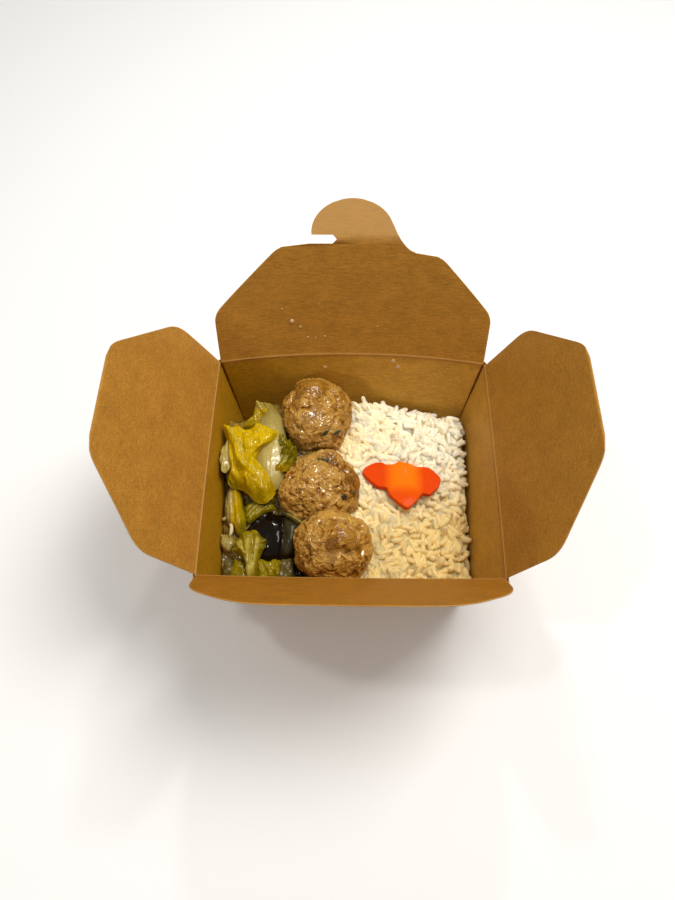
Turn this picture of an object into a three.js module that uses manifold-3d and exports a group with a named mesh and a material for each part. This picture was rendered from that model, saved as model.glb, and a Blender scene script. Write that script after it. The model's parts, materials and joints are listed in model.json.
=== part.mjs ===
// A folding card takeaway box, standing open, with a meal of rice, meatballs and braised cabbage.
// Millimetres. X runs across the box, Y to the back, Z up; the origin is the middle of the underside.

import * as THREE from 'three';
import { mergeVertices } from 'three/addons/utils/BufferGeometryUtils.js';
import Module from 'manifold-3d';

const wasm = await Module();
wasm.setup();

// ---- driving dimensions -------------------------------------------------------------------

// Card box: a straight-sided tray that widens upwards, with one flap on each rim.
const RIM_WIDTH = 130;
const RIM_DEPTH = 108;
const BOX_HEIGHT = 64;
const WALL_LEAN = 9.5; // how far each wall leans out between its foot and its rim
const BACK_BULGE = 2.75; // the long back wall bulges; its flat face stands at the bulge's mean
const CARD = 0.5;
const RIM_GAP = 0.35; // between a wall's top edge and its crease axis, and again to the flap
const SIDE_CREASE_DROP = 0.8; // the side flaps fold first, so their creases lie lower
const GUSSET_REACH = 46; // length of a folded corner web along the side wall, at the rim
const GUSSET_DROP = 1.5; // the webs stop this far below the side wall's rim
const CORNER_SLIT = 1.6; // width of the open fold in each corner, at the rim

// Flaps: half widths and reaches are measured in the card, from the crease.
const SIDE_FLAP = { root: 53, shoulder: [52.8, 32.7], shoulderRound: 7, end: [23, 64.2], endRound: 6 };
// The left flap is wider at the back.
const LEFT_FLAP = { ...SIDE_FLAP, root: 54, shoulder: [55.6, 30.6], end: [24, 64.2], otherHalf: SIDE_FLAP };
const FRONT_FLAP = { root: 64, shoulder: [61.8, 27.6], shoulderRound: 10, end: [38, 54], endRound: 14 };
const BACK_FLAP = {
  root: 64, shoulder: [63.8, 25.5], shoulderRound: 8, end: [38.2, 51.8], endLeft: [-32.5, 57], endRound: 5,
};
const TAB = { centre: [-0.4, 61.8], radius: [18.1, 16], foot: 27.5, slotWidth: 4.3, slotDepth: 11.2 };
const FLAP_ANGLE = { left: 60.0, right: 66.1, back: 65.0, front: 63.6 }; // above the horizontal, outwards

// Food.
const GAP = 0.35; // clearance between two pieces that touch
const GRAIN = { length: 6.8, width: 2.5, sides: 5, spacing: 7 };
const MEATBALLS = {
  meatball_back: { centre: [-17.7, 35.2, 44], radius: [17.3, 18.8, 17.2], turn: 0 },
  meatball_middle: { centre: [-15.3, -2.2, 37.4], radius: [19.6, 18.2, 17.6], turn: 1.7 },
  meatball_front: { centre: [-8.4, -32.8, 43.3], radius: [17.0, 16.2, 15.8], turn: 3.1 },
};
const LUMP_HEIGHT = 1.1;
const CARROT = { centre: [25.3, 3.2, 36.6], width: 38.5, length: 26, thickness: 3, tilt: [-4, 4] };

// Thin, wavy pieces of vegetable. Each runs from its root to its tip; `wide` is the widest part,
// `arch` lifts its middle line across the piece, `bow` along it, and the ruffle waves its two edges.
const LEAVES = {
  cabbage_stem: {
    root: [-38.5, 42.5, 42.5], tip: [-36.5, -8, 43.5], wide: 21, ends: [0.55, 0.62], thick: 4.2,
    arch: 3.4, bow: 4.2, ruffle: 0.25, waves: 1, curl: -2.5, tilt: 6,
  },
  cabbage_roll: {
    root: [-41, 43.5, 44], tip: [-55.5, 30.5, 41.5], wide: 10, ends: [0.75, 0.35], thick: 1.5,
    arch: 2.4, bow: -1, ruffle: 0.5, waves: 1.5, curl: 0, tilt: -18,
  },
  cabbage_leaf: {
    root: [-45.5, 29.5, 52.5], tip: [-47, -14.5, 47.5], wide: 27, ends: [0.72, 0.5], thick: 1.5,
    arch: 3.2, bow: 3.4, ruffle: 1.5, waves: 3, curl: 2, tilt: 4,
  },
  cabbage_edge: {
    root: [-57.6, 15, 50.5], tip: [-59.3, -3, 53.5], wide: 8.5, ends: [0.4, 0.5], thick: 1.5,
    arch: 1, bow: 1.2, ruffle: 0.4, waves: 1, curl: -1.2, tilt: -12,
  },
  cabbage_green: {
    root: [-31.5, 19.5, 43], tip: [-32.5, -6, 39.5], wide: 9.5, ends: [0.45, 0.4], thick: 1.3,
    arch: 1.6, bow: 1.5, ruffle: 1, waves: 2.5, curl: 1.5, tilt: 10,
  },
  cabbage_strip: {
    root: [-57.3, -1.5, 41.5], tip: [-51.2, -28.5, 38.6], wide: 8.6, ends: [0.6, 0.35], thick: 2.8,
    arch: 1.6, bow: 2.2, ruffle: 0.2, waves: 1, curl: -2.2, tilt: -6,
  },
  cabbage_shred: {
    root: [-38.5, -9.5, 39.5], tip: [-50.5, -15.5, 38], wide: 7, ends: [0.7, 0.45], thick: 1.3,
    arch: 1.2, bow: 0.8, ruffle: 0.4, waves: 2, curl: 0, tilt: -8,
  },
  cabbage_fan: {
    root: [-46.5, -47.5, 38.2], tip: [-46.2, -24, 42.4], wide: 16, ends: [0.42, 0.78], thick: 1.5,
    arch: 2.4, bow: 1.6, ruffle: 0.9, waves: 2.5, curl: 0.8, tilt: 2,
  },
  cabbage_chip: {
    root: [-56.5, -27.2, 38], tip: [-55.6, -36.5, 36.6], wide: 7.4, ends: [0.6, 0.6], thick: 2,
    arch: 1.2, bow: 0.8, ruffle: 0.3, waves: 1, curl: 0, tilt: -10,
  },
  cabbage_corner: {
    root: [-37.6, -47, 35.6], tip: [-38.8, -37.2, 37.4], wide: 9.6, ends: [0.7, 0.7], thick: 1.5,
    arch: 1.4, bow: 0.8, ruffle: 0.6, waves: 2, curl: 0, tilt: 4,
  },
  cabbage_clear: {
    root: [-29.6, -47, 35.4], tip: [-30, -37.4, 37.6], wide: 6.8, ends: [0.6, 0.75], thick: 2.2,
    arch: 1.2, bow: 0.9, ruffle: 0.2, waves: 1, curl: 0.5, tilt: 6,
  },
  wood_ear: {
    root: [-50.5, -26.5, 37], tip: [-18.5, -26.8, 36.4], wide: 22, ends: [0.35, 0.5], thick: 1.6,
    arch: 3, bow: 3.4, ruffle: 1.1, waves: 1.5, curl: 1.5, tilt: 0,
  },
};

// Colours and finishes of the materials, as [colour, roughness].
const FINISH = {
  card: ['#a8702f', 0.8],
  rice: ['#e9e4d2', 0.55],
  meat: ['#a8743c', 0.35],
  stem: ['#d9d6a6', 0.3],
  leaf: ['#c9b21a', 0.3],
  green: ['#7f8a1c', 0.3],
  fungus: ['#1a1512', 0.2],
  carrot: ['#ef5f0c', 0.35],
};

// ---- general helpers ------------------------------------------------------------------------

const radians = THREE.MathUtils.degToRad;

function smooth(low, high, value) {
  return THREE.MathUtils.smoothstep(value, low, high);
}

function seededRandom(seed) {
  let state = seed;
  return () => {
    state = (Math.imul(state, 1664525) + 1013904223) >>> 0;
    return state / 4294967296;
  };
}

// A closed geometry as a solid that can be joined and cut.
function toSolid(geometry) {
  const bare = geometry.index ? geometry.clone() : geometry;
  bare.deleteAttribute('normal');
  bare.deleteAttribute('uv');
  const merged = mergeVertices(bare, 1e-4);
  return new wasm.Manifold(new wasm.Mesh({
    numProp: 3,
    vertProperties: new Float32Array(merged.attributes.position.array),
    triVerts: new Uint32Array(merged.index.array),
  }));
}

function toGeometry(solid) {
  const mesh = solid.getMesh();
  const geometry = new THREE.BufferGeometry();
  geometry.setAttribute('position', new THREE.BufferAttribute(mesh.vertProperties, 3));
  geometry.setIndex(new THREE.BufferAttribute(mesh.triVerts, 1));
  geometry.computeVertexNormals();
  return geometry;
}

// The largest connected body of a solid, so that a cut leaves no loose scraps.
function largestBody(solid) {
  const bodies = solid.decompose();
  bodies.sort((a, b) => b.volume() - a.volume());
  return bodies[0];
}

// A solid between two grids of points that share their rim. Both grids are functions of (u, v) in 0..1.
function solidBetween(upper, lower, columns, rows) {
  const points = [];
  const triangles = [];
  const stride = columns + 1;
  const layer = stride * (rows + 1);
  for (const surface of [upper, lower]) {
    for (let row = 0; row <= rows; row += 1) {
      for (let column = 0; column <= columns; column += 1) {
        points.push(...surface(column / columns, row / rows).toArray());
      }
    }
  }
  for (let row = 0; row < rows; row += 1) {
    for (let column = 0; column < columns; column += 1) {
      const a = row * stride + column;
      const b = a + 1;
      const c = b + stride;
      const d = a + stride;
      triangles.push(a, b, c, a, c, d);
      triangles.push(a + layer, c + layer, b + layer, a + layer, d + layer, c + layer);
    }
  }
  const rim = [];
  for (let column = 0; column < columns; column += 1) rim.push(column);
  for (let row = 0; row < rows; row += 1) rim.push(row * stride + columns);
  for (let column = columns; column > 0; column -= 1) rim.push(rows * stride + column);
  for (let row = rows; row > 0; row -= 1) rim.push(row * stride);
  rim.forEach((start, i) => {
    const end = rim[(i + 1) % rim.length];
    triangles.push(start, start + layer, end + layer, start, end + layer, end);
  });
  const geometry = new THREE.BufferGeometry();
  geometry.setAttribute('position', new THREE.Float32BufferAttribute(points, 3));
  geometry.setIndex(triangles);
  return geometry;
}

// ---- the card box ------------------------------------------------------------------------------

// Half sizes of the tray's outer faces at a height: left and right, front, back.
function wallHalfWidth(z) {
  return RIM_WIDTH / 2 - WALL_LEAN * (1 - z / BOX_HEIGHT);
}

function frontHalfDepth(z) {
  return RIM_DEPTH / 2 - WALL_LEAN * (1 - z / BOX_HEIGHT);
}

function backHalfDepth(z) {
  return frontHalfDepth(z) + BACK_BULGE * (z / BOX_HEIGHT);
}

// A block with the tray's taper, `inset` inside its outer faces, from one height to another.
function taperedBlock(inset, bottom, top) {
  const corner = (u, v, z) => new THREE.Vector3(
    THREE.MathUtils.lerp(-1, 1, u) * (wallHalfWidth(z) - inset),
    THREE.MathUtils.lerp(-frontHalfDepth(z) + inset, backHalfDepth(z) - inset, v),
    z,
  );
  return toSolid(solidBetween((u, v) => corner(u, v, top), (u, v) => corner(u, v, bottom), 1, 1));
}

// A flat plate given by corners in the plane of a side wall's outer face, as [y, z], and two offsets.
function sideWallPlate(side, corners, from, to) {
  const points = [];
  for (const offset of [from, to]) {
    for (const [y, z] of corners) {
      points.push(new THREE.Vector3(side * (wallHalfWidth(z) + offset), y, z));
    }
  }
  return hull(points);
}

// The convex body round a few points, by fanning its flat outline.
function hull(points) {
  const count = points.length / 2;
  const middle = points.reduce((sum, p) => sum.add(p), new THREE.Vector3()).divideScalar(points.length);
  const faces = [];
  for (let i = 1; i < count - 1; i += 1) {
    faces.push([0, i, i + 1], [count, count + i, count + i + 1]);
  }
  for (let i = 0; i < count; i += 1) {
    const next = (i + 1) % count;
    faces.push([i, next, next + count], [i, next + count, i + count]);
  }
  const triangles = [];
  for (const [a, b, c] of faces) {
    const normal = new THREE.Vector3().crossVectors(
      points[b].clone().sub(points[a]),
      points[c].clone().sub(points[a]),
    );
    const outward = points[a].clone().sub(middle).dot(normal) > 0;
    triangles.push(...(outward ? [a, b, c] : [a, c, b]));
  }
  const geometry = new THREE.BufferGeometry();
  geometry.setAttribute('position', new THREE.Float32BufferAttribute(points.flatMap((p) => p.toArray()), 3));
  geometry.setIndex(triangles);
  return toSolid(geometry);
}

// The folded corner web that lies against a side wall, seen from outside as a triangle.
function cornerWeb(side, end) {
  const top = BOX_HEIGHT - SIDE_CREASE_DROP - GUSSET_DROP;
  const edge = (z) => (end > 0 ? backHalfDepth(z) : -frontHalfDepth(z));
  const foot = 1;
  const corners = [
    [edge(foot), foot],
    [edge(top), top],
    [edge(top) - end * GUSSET_REACH, top],
    [edge(foot) - end, foot],
  ];
  return sideWallPlate(side, corners, -CARD / 2, 2 * CARD + 0.2);
}

// The open fold seen inside a corner: a wedge, closed at the foot and widest at the rim.
function cornerSlit(side, end) {
  const top = BOX_HEIGHT + 1;
  const inner = (z) => (end > 0 ? backHalfDepth(z) : -frontHalfDepth(z)) - end * CARD;
  const foot = 6;
  const corners = [
    [inner(foot), foot],
    [inner(top), top],
    [inner(top) - end * CORNER_SLIT, top],
  ];
  return sideWallPlate(side, corners, -CARD - 0.5, CARD * 0.9);
}

function trayGeometry() {
  const inside = taperedBlock(CARD, CARD, BOX_HEIGHT + 5);
  let tray = taperedBlock(0, 0, BOX_HEIGHT - RIM_GAP).subtract(inside);
  const sideTop = BOX_HEIGHT - SIDE_CREASE_DROP - RIM_GAP;
  for (const side of [-1, 1]) {
    const lower = sideWallPlate(side, [
      [-frontHalfDepth(BOX_HEIGHT) + CARD, sideTop],
      [backHalfDepth(BOX_HEIGHT) - CARD, sideTop],
      [backHalfDepth(BOX_HEIGHT) - CARD, BOX_HEIGHT + 1],
      [-frontHalfDepth(BOX_HEIGHT) + CARD, BOX_HEIGHT + 1],
    ], -2 * CARD, CARD);
    tray = tray.subtract(lower);
    for (const end of [-1, 1]) {
      tray = tray.add(cornerWeb(side, end).subtract(inside)).subtract(cornerSlit(side, end));
    }
  }
  return toGeometry(largestBody(tray));
}

// Rounds the corner at `at` of a path that comes from `from` and goes on to `to`.
function roundCorner(shape, from, at, to, radius) {
  const start = at.clone().add(from.clone().sub(at).setLength(radius));
  const end = at.clone().add(to.clone().sub(at).setLength(radius));
  shape.lineTo(start.x, start.y);
  shape.quadraticCurveTo(at.x, at.y, end.x, end.y);
}

function point(x, y) {
  return new THREE.Vector2(x, y);
}

// A flap's outline: x along the crease, y away from it. Its left half mirrors the right one, or another
// half that it names. The optional tab stands on its far edge.
function flapShape(flap, tab) {
  const right = {
    root: point(flap.root, RIM_GAP),
    shoulder: point(...flap.shoulder),
    end: point(...flap.end),
  };
  const other = flap.otherHalf ?? flap;
  const left = {
    root: point(-other.root, RIM_GAP),
    shoulder: point(-other.shoulder[0], other.shoulder[1]),
    end: point(...(flap.endLeft ?? [-other.end[0], other.end[1]])),
  };
  const shape = new THREE.Shape();
  shape.moveTo(left.root.x, left.root.y);
  shape.lineTo(right.root.x, right.root.y);
  roundCorner(shape, right.root, right.shoulder, right.end, flap.shoulderRound);
  roundCorner(shape, right.shoulder, right.end, left.end, flap.endRound);
  if (tab) addTab(shape, right.end.y, left.end.y);
  roundCorner(shape, right.end, left.end, left.shoulder, flap.endRound);
  roundCorner(shape, left.end, left.shoulder, left.root, flap.shoulderRound);
  shape.closePath();
  return shape;
}

// A round locking tab: on its right it flares into the far edge, and on its left a slot with a round
// end lets it hook behind the slit it is pushed into.
function addTab(shape, rightEdge, leftEdge) {
  const { centre: [x, y], radius: [across, tall], foot, slotWidth, slotDepth } = TAB;
  shape.lineTo(foot, rightEdge + 1);
  shape.quadraticCurveTo(x + across + 4, rightEdge + 2, x + across + 1.2, y - 1);
  shape.quadraticCurveTo(x + across, y + 3.5, x + across * 0.94, y + tall * 0.34);
  shape.absellipse(x, y, across, tall, Math.asin(0.34), Math.PI, false);
  const slotEnd = x - across + slotDepth;
  const slotFoot = leftEdge + 0.5;
  shape.lineTo(slotEnd - slotWidth / 2, slotFoot + slotWidth);
  shape.absarc(slotEnd - slotWidth / 2, slotFoot + slotWidth / 2, slotWidth / 2, Math.PI / 2, -Math.PI / 2, true);
  shape.lineTo(x - across - 1, slotFoot);
}

const FLAT = { depth: CARD, bevelEnabled: false, curveSegments: 6 };

// A flap, drawn flat and turned up about its crease. `facing` is the flap's outward direction.
function flapMesh(name, flap, angle, facing, crease, tab = false) {
  const geometry = new THREE.ExtrudeGeometry(flapShape(flap, tab), FLAT);
  geometry.translate(0, 0, -CARD / 2);
  geometry.rotateX(radians(angle));
  geometry.rotateZ(facing);
  geometry.translate(...crease);
  return piece(name, toGeometry(toSolid(geometry)), 'card');
}

function flaps() {
  const sideCrease = BOX_HEIGHT - SIDE_CREASE_DROP;
  const sideLine = RIM_WIDTH / 2 - CARD / 2;
  const frontLine = RIM_DEPTH / 2 - CARD / 2;
  const backLine = frontLine + BACK_BULGE;
  return [
    flapMesh('flap_left', LEFT_FLAP, FLAP_ANGLE.left, Math.PI / 2, [-sideLine, 0, sideCrease]),
    flapMesh('flap_right', SIDE_FLAP, FLAP_ANGLE.right, -Math.PI / 2, [sideLine, 0, sideCrease]),
    flapMesh('flap_back', BACK_FLAP, FLAP_ANGLE.back, 0, [0, backLine, BOX_HEIGHT], true),
    flapMesh('flap_front', FRONT_FLAP, FLAP_ANGLE.front, Math.PI, [0, -frontLine, BOX_HEIGHT]),
  ];
}

// ---- meatballs ----------------------------------------------------------------------------------

// Lumps of a minced ball: waves of several lengths in evenly spread directions.
function lumps(direction, turn) {
  let sum = 0;
  for (let wave = 0; wave < 9; wave += 1) {
    const height = 1 - (2 * wave + 1) / 9;
    const reach = Math.sqrt(1 - height * height);
    const around = wave * 2.399963 + turn;
    const along = direction.x * reach * Math.cos(around) + direction.y * reach * Math.sin(around)
      + direction.z * height;
    sum += Math.sin(along * (4 + wave) + wave * 1.3 + turn) / (1 + wave * 0.12);
  }
  return sum * LUMP_HEIGHT * 0.45;
}

function meatballGeometry({ centre, radius, turn }, grow = 0) {
  const geometry = new THREE.IcosahedronGeometry(1, 4);
  const position = geometry.attributes.position;
  const direction = new THREE.Vector3();
  for (let i = 0; i < position.count; i += 1) {
    direction.fromBufferAttribute(position, i).normalize();
    const rise = lumps(direction, turn) + grow;
    position.setXYZ(
      i,
      centre[0] + direction.x * (radius[0] + rise),
      centre[1] + direction.y * (radius[1] + rise),
      centre[2] + direction.z * (radius[2] + rise),
    );
  }
  return geometry;
}

// ---- leaves, stems and fungus --------------------------------------------------------------------

// Half width at a share u of the length: the two end widths, with a full round middle.
function leafHalfWidth(leaf, u) {
  const [rootWidth, tipWidth] = leaf.ends;
  const ends = THREE.MathUtils.lerp(rootWidth, tipWidth, u);
  return (leaf.wide / 2) * (ends + (1 - ends) * Math.sin(Math.PI * u));
}

// The leaf's solid. `grow` adds a clearance on every side, for cutting room out of a neighbour.
function leafGeometry(leaf, grow = 0) {
  const root = new THREE.Vector3(...leaf.root);
  const tip = new THREE.Vector3(...leaf.tip);
  const along = tip.clone().sub(root).normalize();
  const across = new THREE.Vector3(0, 0, 1).cross(along).normalize();
  across.applyAxisAngle(along, radians(leaf.tilt));
  const up = along.clone().cross(across);
  const surface = (side) => (s, t) => {
    const u = s;
    const v = 2 * t - 1;
    const fade = Math.sqrt(Math.max(0, 1 - v ** 4)) * Math.min(1, 6 * Math.min(u, 1 - u) + 0.35);
    const half = (leaf.thick / 2) * (0.3 + 0.7 * fade) + grow;
    const ruffle = leaf.ruffle * v * v * Math.sin(2 * Math.PI * leaf.waves * u + (v > 0 ? 0 : 2));
    const lift = leaf.arch * (1 - v * v) + leaf.bow * 4 * u * (1 - u) + ruffle + side * half;
    const sway = leaf.curl * 4 * u * (1 - u);
    const end = grow * (2 * u - 1) * 1.5;
    return root.clone()
      .lerp(tip, u)
      .addScaledVector(along, end)
      .addScaledVector(across, v * (leafHalfWidth(leaf, u) + grow * 1.5) + sway)
      .addScaledVector(up, lift);
  };
  return solidBetween(surface(1), surface(-1), 8, 5);
}

// ---- rice and the cabbage beneath the leaves -------------------------------------------------------

// Where the rice ends and the cabbage begins, under the row of meatballs.
function divide(y) {
  return -12.6 - 0.13 * y;
}

// Soft unevenness of a heap's top.
function unevenness(x, y) {
  return Math.sin(0.43 * x + 0.9) * Math.cos(0.37 * y) + 0.7 * Math.sin(0.71 * y + 0.31 * x);
}

function riceTop(x, y) {
  const across = smooth(-12, 60, x);
  const along = smooth(-50, 45, y);
  const plane = THREE.MathUtils.lerp(36.5, THREE.MathUtils.lerp(24.5, 34.5, along), across) + 3 * along * (1 - across);
  const backFall = THREE.MathUtils.lerp(2, 13, smooth(5, 55, x)) * smooth(38, 53, y);
  const sideFall = 5 * smooth(52, 62, x);
  const cornerFall = 6 * smooth(30, 58, x) * smooth(32, 52, y);
  return plane - backFall - sideFall - cornerFall + 0.75 * unevenness(x, y);
}

function cabbageTop(x, y) {
  const rise = 33 + 4.5 * smooth(-45, -15, y) + 6 * smooth(-15, 20, y);
  const backFall = (9 + 15 * smooth(-38, -54, x)) * smooth(30, 49, y);
  return rise - backFall + 0.5 * unevenness(x * 1.4, y);
}

// A heap that fills the tray from its floor up to `top`, between two lines across the box.
function heapGeometry(left, right, top, columns, rows) {
  const floor = CARD + GAP;
  const place = (u, v) => {
    const y = THREE.MathUtils.lerp(-RIM_DEPTH / 2, RIM_DEPTH / 2 + BACK_BULGE, v);
    return [THREE.MathUtils.lerp(left(y), right(y), u), y];
  };
  const upper = (u, v) => {
    const [x, y] = place(u, v);
    return new THREE.Vector3(x, y, top(x, y));
  };
  const lower = (u, v) => {
    const [x, y] = place(u, v);
    return new THREE.Vector3(x, y, floor);
  };
  return solidBetween(upper, lower, columns, rows);
}

// One cooked grain: a spindle with few sides, lying along X.
function grainGeometry() {
  const half = GRAIN.length / 2;
  const round = GRAIN.width / 2;
  const profile = [
    point(0, -half),
    point(round * 0.8, -half * 0.68),
    point(round, 0),
    point(round * 0.75, half * 0.7),
    point(0, half),
  ];
  return new THREE.LatheGeometry(profile, GRAIN.sides).rotateZ(-Math.PI / 2);
}

// Loose grains on the heap's top, spread evenly with seeded unevenness, kept off what lies on it.
function surfaceGrains(keepOff) {
  const random = seededRandom(11);
  const grains = [];
  const shape = grainGeometry();
  for (let y = -48; y < 50; y += GRAIN.spacing) {
    for (let x = divide(y) + 3; x < 60; x += GRAIN.spacing) {
      const spot = new THREE.Vector3(x + (random() - 0.5) * 3, y + (random() - 0.5) * 3, 0);
      spot.z = riceTop(spot.x, spot.y) + 0.35 + random() * 0.5;
      const turn = new THREE.Euler(
        random() * Math.PI,
        (random() - 0.5) * 0.7,
        random() * Math.PI,
        'ZYX',
      );
      const matrix = new THREE.Matrix4().makeRotationFromEuler(turn).setPosition(spot);
      const blocked = keepOff.some((isNear) => isNear(spot));
      if (!blocked) grains.push(toSolid(shape.clone().applyMatrix4(matrix)));
    }
  }
  return grains;
}

function nearMeatball({ centre, radius }) {
  const margin = GRAIN.length / 2 + 0.4;
  return (spot) => Math.hypot(
    (spot.x - centre[0]) / (radius[0] + margin),
    (spot.y - centre[1]) / (radius[1] + margin),
    (spot.z - centre[2]) / (radius[2] + margin),
  ) < 1;
}

function nearCarrot(spot) {
  const [x, y] = CARROT.centre;
  const margin = 2.5;
  return Math.abs(spot.x - x) < CARROT.width / 2 + margin && Math.abs(spot.y - y) < CARROT.length / 2 + margin
    && Math.abs(spot.x - x) / (CARROT.width / 2 + margin) + Math.max(0, y - spot.y) / (CARROT.length + margin) < 1.15;
}

// ---- carrot ---------------------------------------------------------------------------------------

// The slice is cut to a figure with two side lobes, a raised middle and one point below.
function carrotShape() {
  const half = CARROT.width / 2;
  const up = CARROT.length / 2;
  const shape = new THREE.Shape();
  shape.moveTo(-half, 0.3 * up);
  shape.quadraticCurveTo(-half * 0.95, 0.55 * up, -half * 0.62, 0.78 * up);
  shape.quadraticCurveTo(-half * 0.45, 0.86 * up, -half * 0.3, 0.74 * up);
  shape.quadraticCurveTo(0, 1.08 * up, half * 0.32, 0.76 * up);
  shape.quadraticCurveTo(half * 0.62, 0.84 * up, half * 0.8, 0.5 * up);
  shape.quadraticCurveTo(half * 1.02, 0.2 * up, half, 0.08 * up);
  shape.quadraticCurveTo(half * 0.88, -0.3 * up, half * 0.62, -0.38 * up);
  shape.lineTo(half * 0.46, -0.4 * up);
  shape.quadraticCurveTo(half * 0.34, -0.8 * up, half * 0.06, -up);
  shape.quadraticCurveTo(-half * 0.22, -0.8 * up, -half * 0.38, -0.5 * up);
  shape.lineTo(-half * 0.38, -0.2 * up);
  shape.quadraticCurveTo(-half * 0.62, -0.22 * up, -half * 0.8, -0.06 * up);
  shape.quadraticCurveTo(-half * 0.97, 0.12 * up, -half, 0.3 * up);
  return shape;
}

function carrotGeometry(grow = 0) {
  const geometry = new THREE.ExtrudeGeometry(carrotShape(), {
    depth: CARROT.thickness - 1 + 2 * grow, steps: 1, curveSegments: 3,
    bevelEnabled: true, bevelThickness: 0.5, bevelSize: 0.5 + grow, bevelOffset: -0.5, bevelSegments: 1,
  });
  geometry.translate(0, 0, -CARROT.thickness / 2 + 0.5 - grow);
  geometry.rotateX(radians(CARROT.tilt[0]));
  geometry.rotateY(radians(CARROT.tilt[1]));
  geometry.translate(...CARROT.centre);
  return geometry;
}

// ---- putting it together -----------------------------------------------------------------------------

function piece(name, geometry, finish) {
  const [color, roughness] = FINISH[finish];
  const mesh = new THREE.Mesh(geometry, new THREE.MeshStandardMaterial({ color, roughness, metalness: 0 }));
  mesh.name = name;
  return mesh;
}

function leafFinish(name) {
  if (name.startsWith('wood_ear')) return 'fungus';
  if (name.endsWith('stem') || name.endsWith('edge') || name.endsWith('chip') || name.endsWith('clear')) return 'stem';
  return name.endsWith('green') ? 'green' : 'leaf';
}

// Each food piece is cut clear of the pieces placed before it, so the order is top first.
function food() {
  const room = taperedBlock(CARD + GAP, CARD + GAP, BOX_HEIGHT);
  const pieces = [];
  const clearances = [];
  const place = (name, solid, clearance, finish) => {
    let body = solid.intersect(room);
    for (const neighbour of clearances) body = body.subtract(neighbour);
    body = largestBody(body);
    pieces.push(piece(name, toGeometry(body), finish));
    clearances.push(clearance.add(body));
  };
  for (const [name, ball] of Object.entries(MEATBALLS)) {
    place(name, toSolid(meatballGeometry(ball)), toSolid(meatballGeometry(ball, GAP)), 'meat');
  }
  place('carrot_slice', toSolid(carrotGeometry()), toSolid(carrotGeometry(GAP)), 'carrot');
  const topFirst = ['cabbage_leaf', 'cabbage_edge', 'cabbage_stem', 'cabbage_roll', 'cabbage_green', 'cabbage_strip',
    'cabbage_fan', 'wood_ear', 'cabbage_shred', 'cabbage_chip', 'cabbage_corner', 'cabbage_clear'];
  for (const name of topFirst) {
    place(name, toSolid(leafGeometry(LEAVES[name])), toSolid(leafGeometry(LEAVES[name], GAP)), leafFinish(name));
  }
  const outer = RIM_WIDTH / 2;
  const rice = toSolid(heapGeometry((y) => divide(y) + GAP / 2, () => outer, riceTop, 14, 20));
  const keepOff = [...Object.values(MEATBALLS).map(nearMeatball), nearCarrot];
  const covered = wasm.Manifold.union([rice, ...surfaceGrains(keepOff)]);
  const cabbage = toSolid(heapGeometry(() => -outer, (y) => divide(y) - GAP / 2, cabbageTop, 8, 14));
  const none = taperedBlock(CARD + GAP, -20, -10);
  place('rice', covered.subtract(cabbage), none, 'rice');
  place('cabbage_bed', cabbage, none, 'leaf');
  return pieces;
}

const model = new THREE.Group();
model.add(piece('tray', trayGeometry(), 'card'), ...flaps(), ...food());

export default model;
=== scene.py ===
"""An open card food box with rice, meatballs and braised cabbage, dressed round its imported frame.

Lengths inside the script are millimetres in the frame's own axes: X across the box, Y to the back, Z up.
"""

import json
import math

import bpy
import numpy as np
from bpy.props import FloatProperty, FloatVectorProperty, IntProperty, PointerProperty
from mathutils import Matrix, Vector


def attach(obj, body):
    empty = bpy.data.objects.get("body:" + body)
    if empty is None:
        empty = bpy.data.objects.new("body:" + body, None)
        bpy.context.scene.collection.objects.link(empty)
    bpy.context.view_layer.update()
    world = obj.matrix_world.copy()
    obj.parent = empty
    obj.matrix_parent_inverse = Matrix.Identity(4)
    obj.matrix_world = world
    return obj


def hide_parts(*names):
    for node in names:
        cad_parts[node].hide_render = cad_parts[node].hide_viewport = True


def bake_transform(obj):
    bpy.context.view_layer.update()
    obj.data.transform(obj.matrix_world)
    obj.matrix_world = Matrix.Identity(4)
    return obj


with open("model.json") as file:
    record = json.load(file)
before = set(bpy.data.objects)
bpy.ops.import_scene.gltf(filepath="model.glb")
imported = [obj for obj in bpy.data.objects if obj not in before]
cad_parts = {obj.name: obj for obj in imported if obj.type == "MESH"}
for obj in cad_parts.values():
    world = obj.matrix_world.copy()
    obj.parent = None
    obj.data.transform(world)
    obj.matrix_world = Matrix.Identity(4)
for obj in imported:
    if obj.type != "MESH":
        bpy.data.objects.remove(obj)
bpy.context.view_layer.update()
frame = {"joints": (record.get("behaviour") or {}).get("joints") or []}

bl_info = {
    "name": "Card food box with rice and meatballs",
    "version": (1, 0, 0),
    "blender": (4, 5, 0),
    "location": "3D View > Sidebar > Food box",
    "description": "Builds a folding card food box, its meal and a plain stage",
    "category": "Object",
}

MM = 0.001

# ---- measures taken from the frame -----------------------------------------------------------

CREASES = {joint["child"]: np.array(joint["pos_m"]) / MM for joint in frame["joints"]}
RIM_HALF_WIDTH = float(CREASES["lid_right"][0])
FRONT_LINE = float(CREASES["lid_front"][1])
BACK_LINE = float(CREASES["lid_back"][1])
BOX_HEIGHT = float(CREASES["lid_back"][2])
SIDE_CREASE_HEIGHT = float(CREASES["lid_left"][2])

# ---- measures of the card --------------------------------------------------------------------

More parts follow.
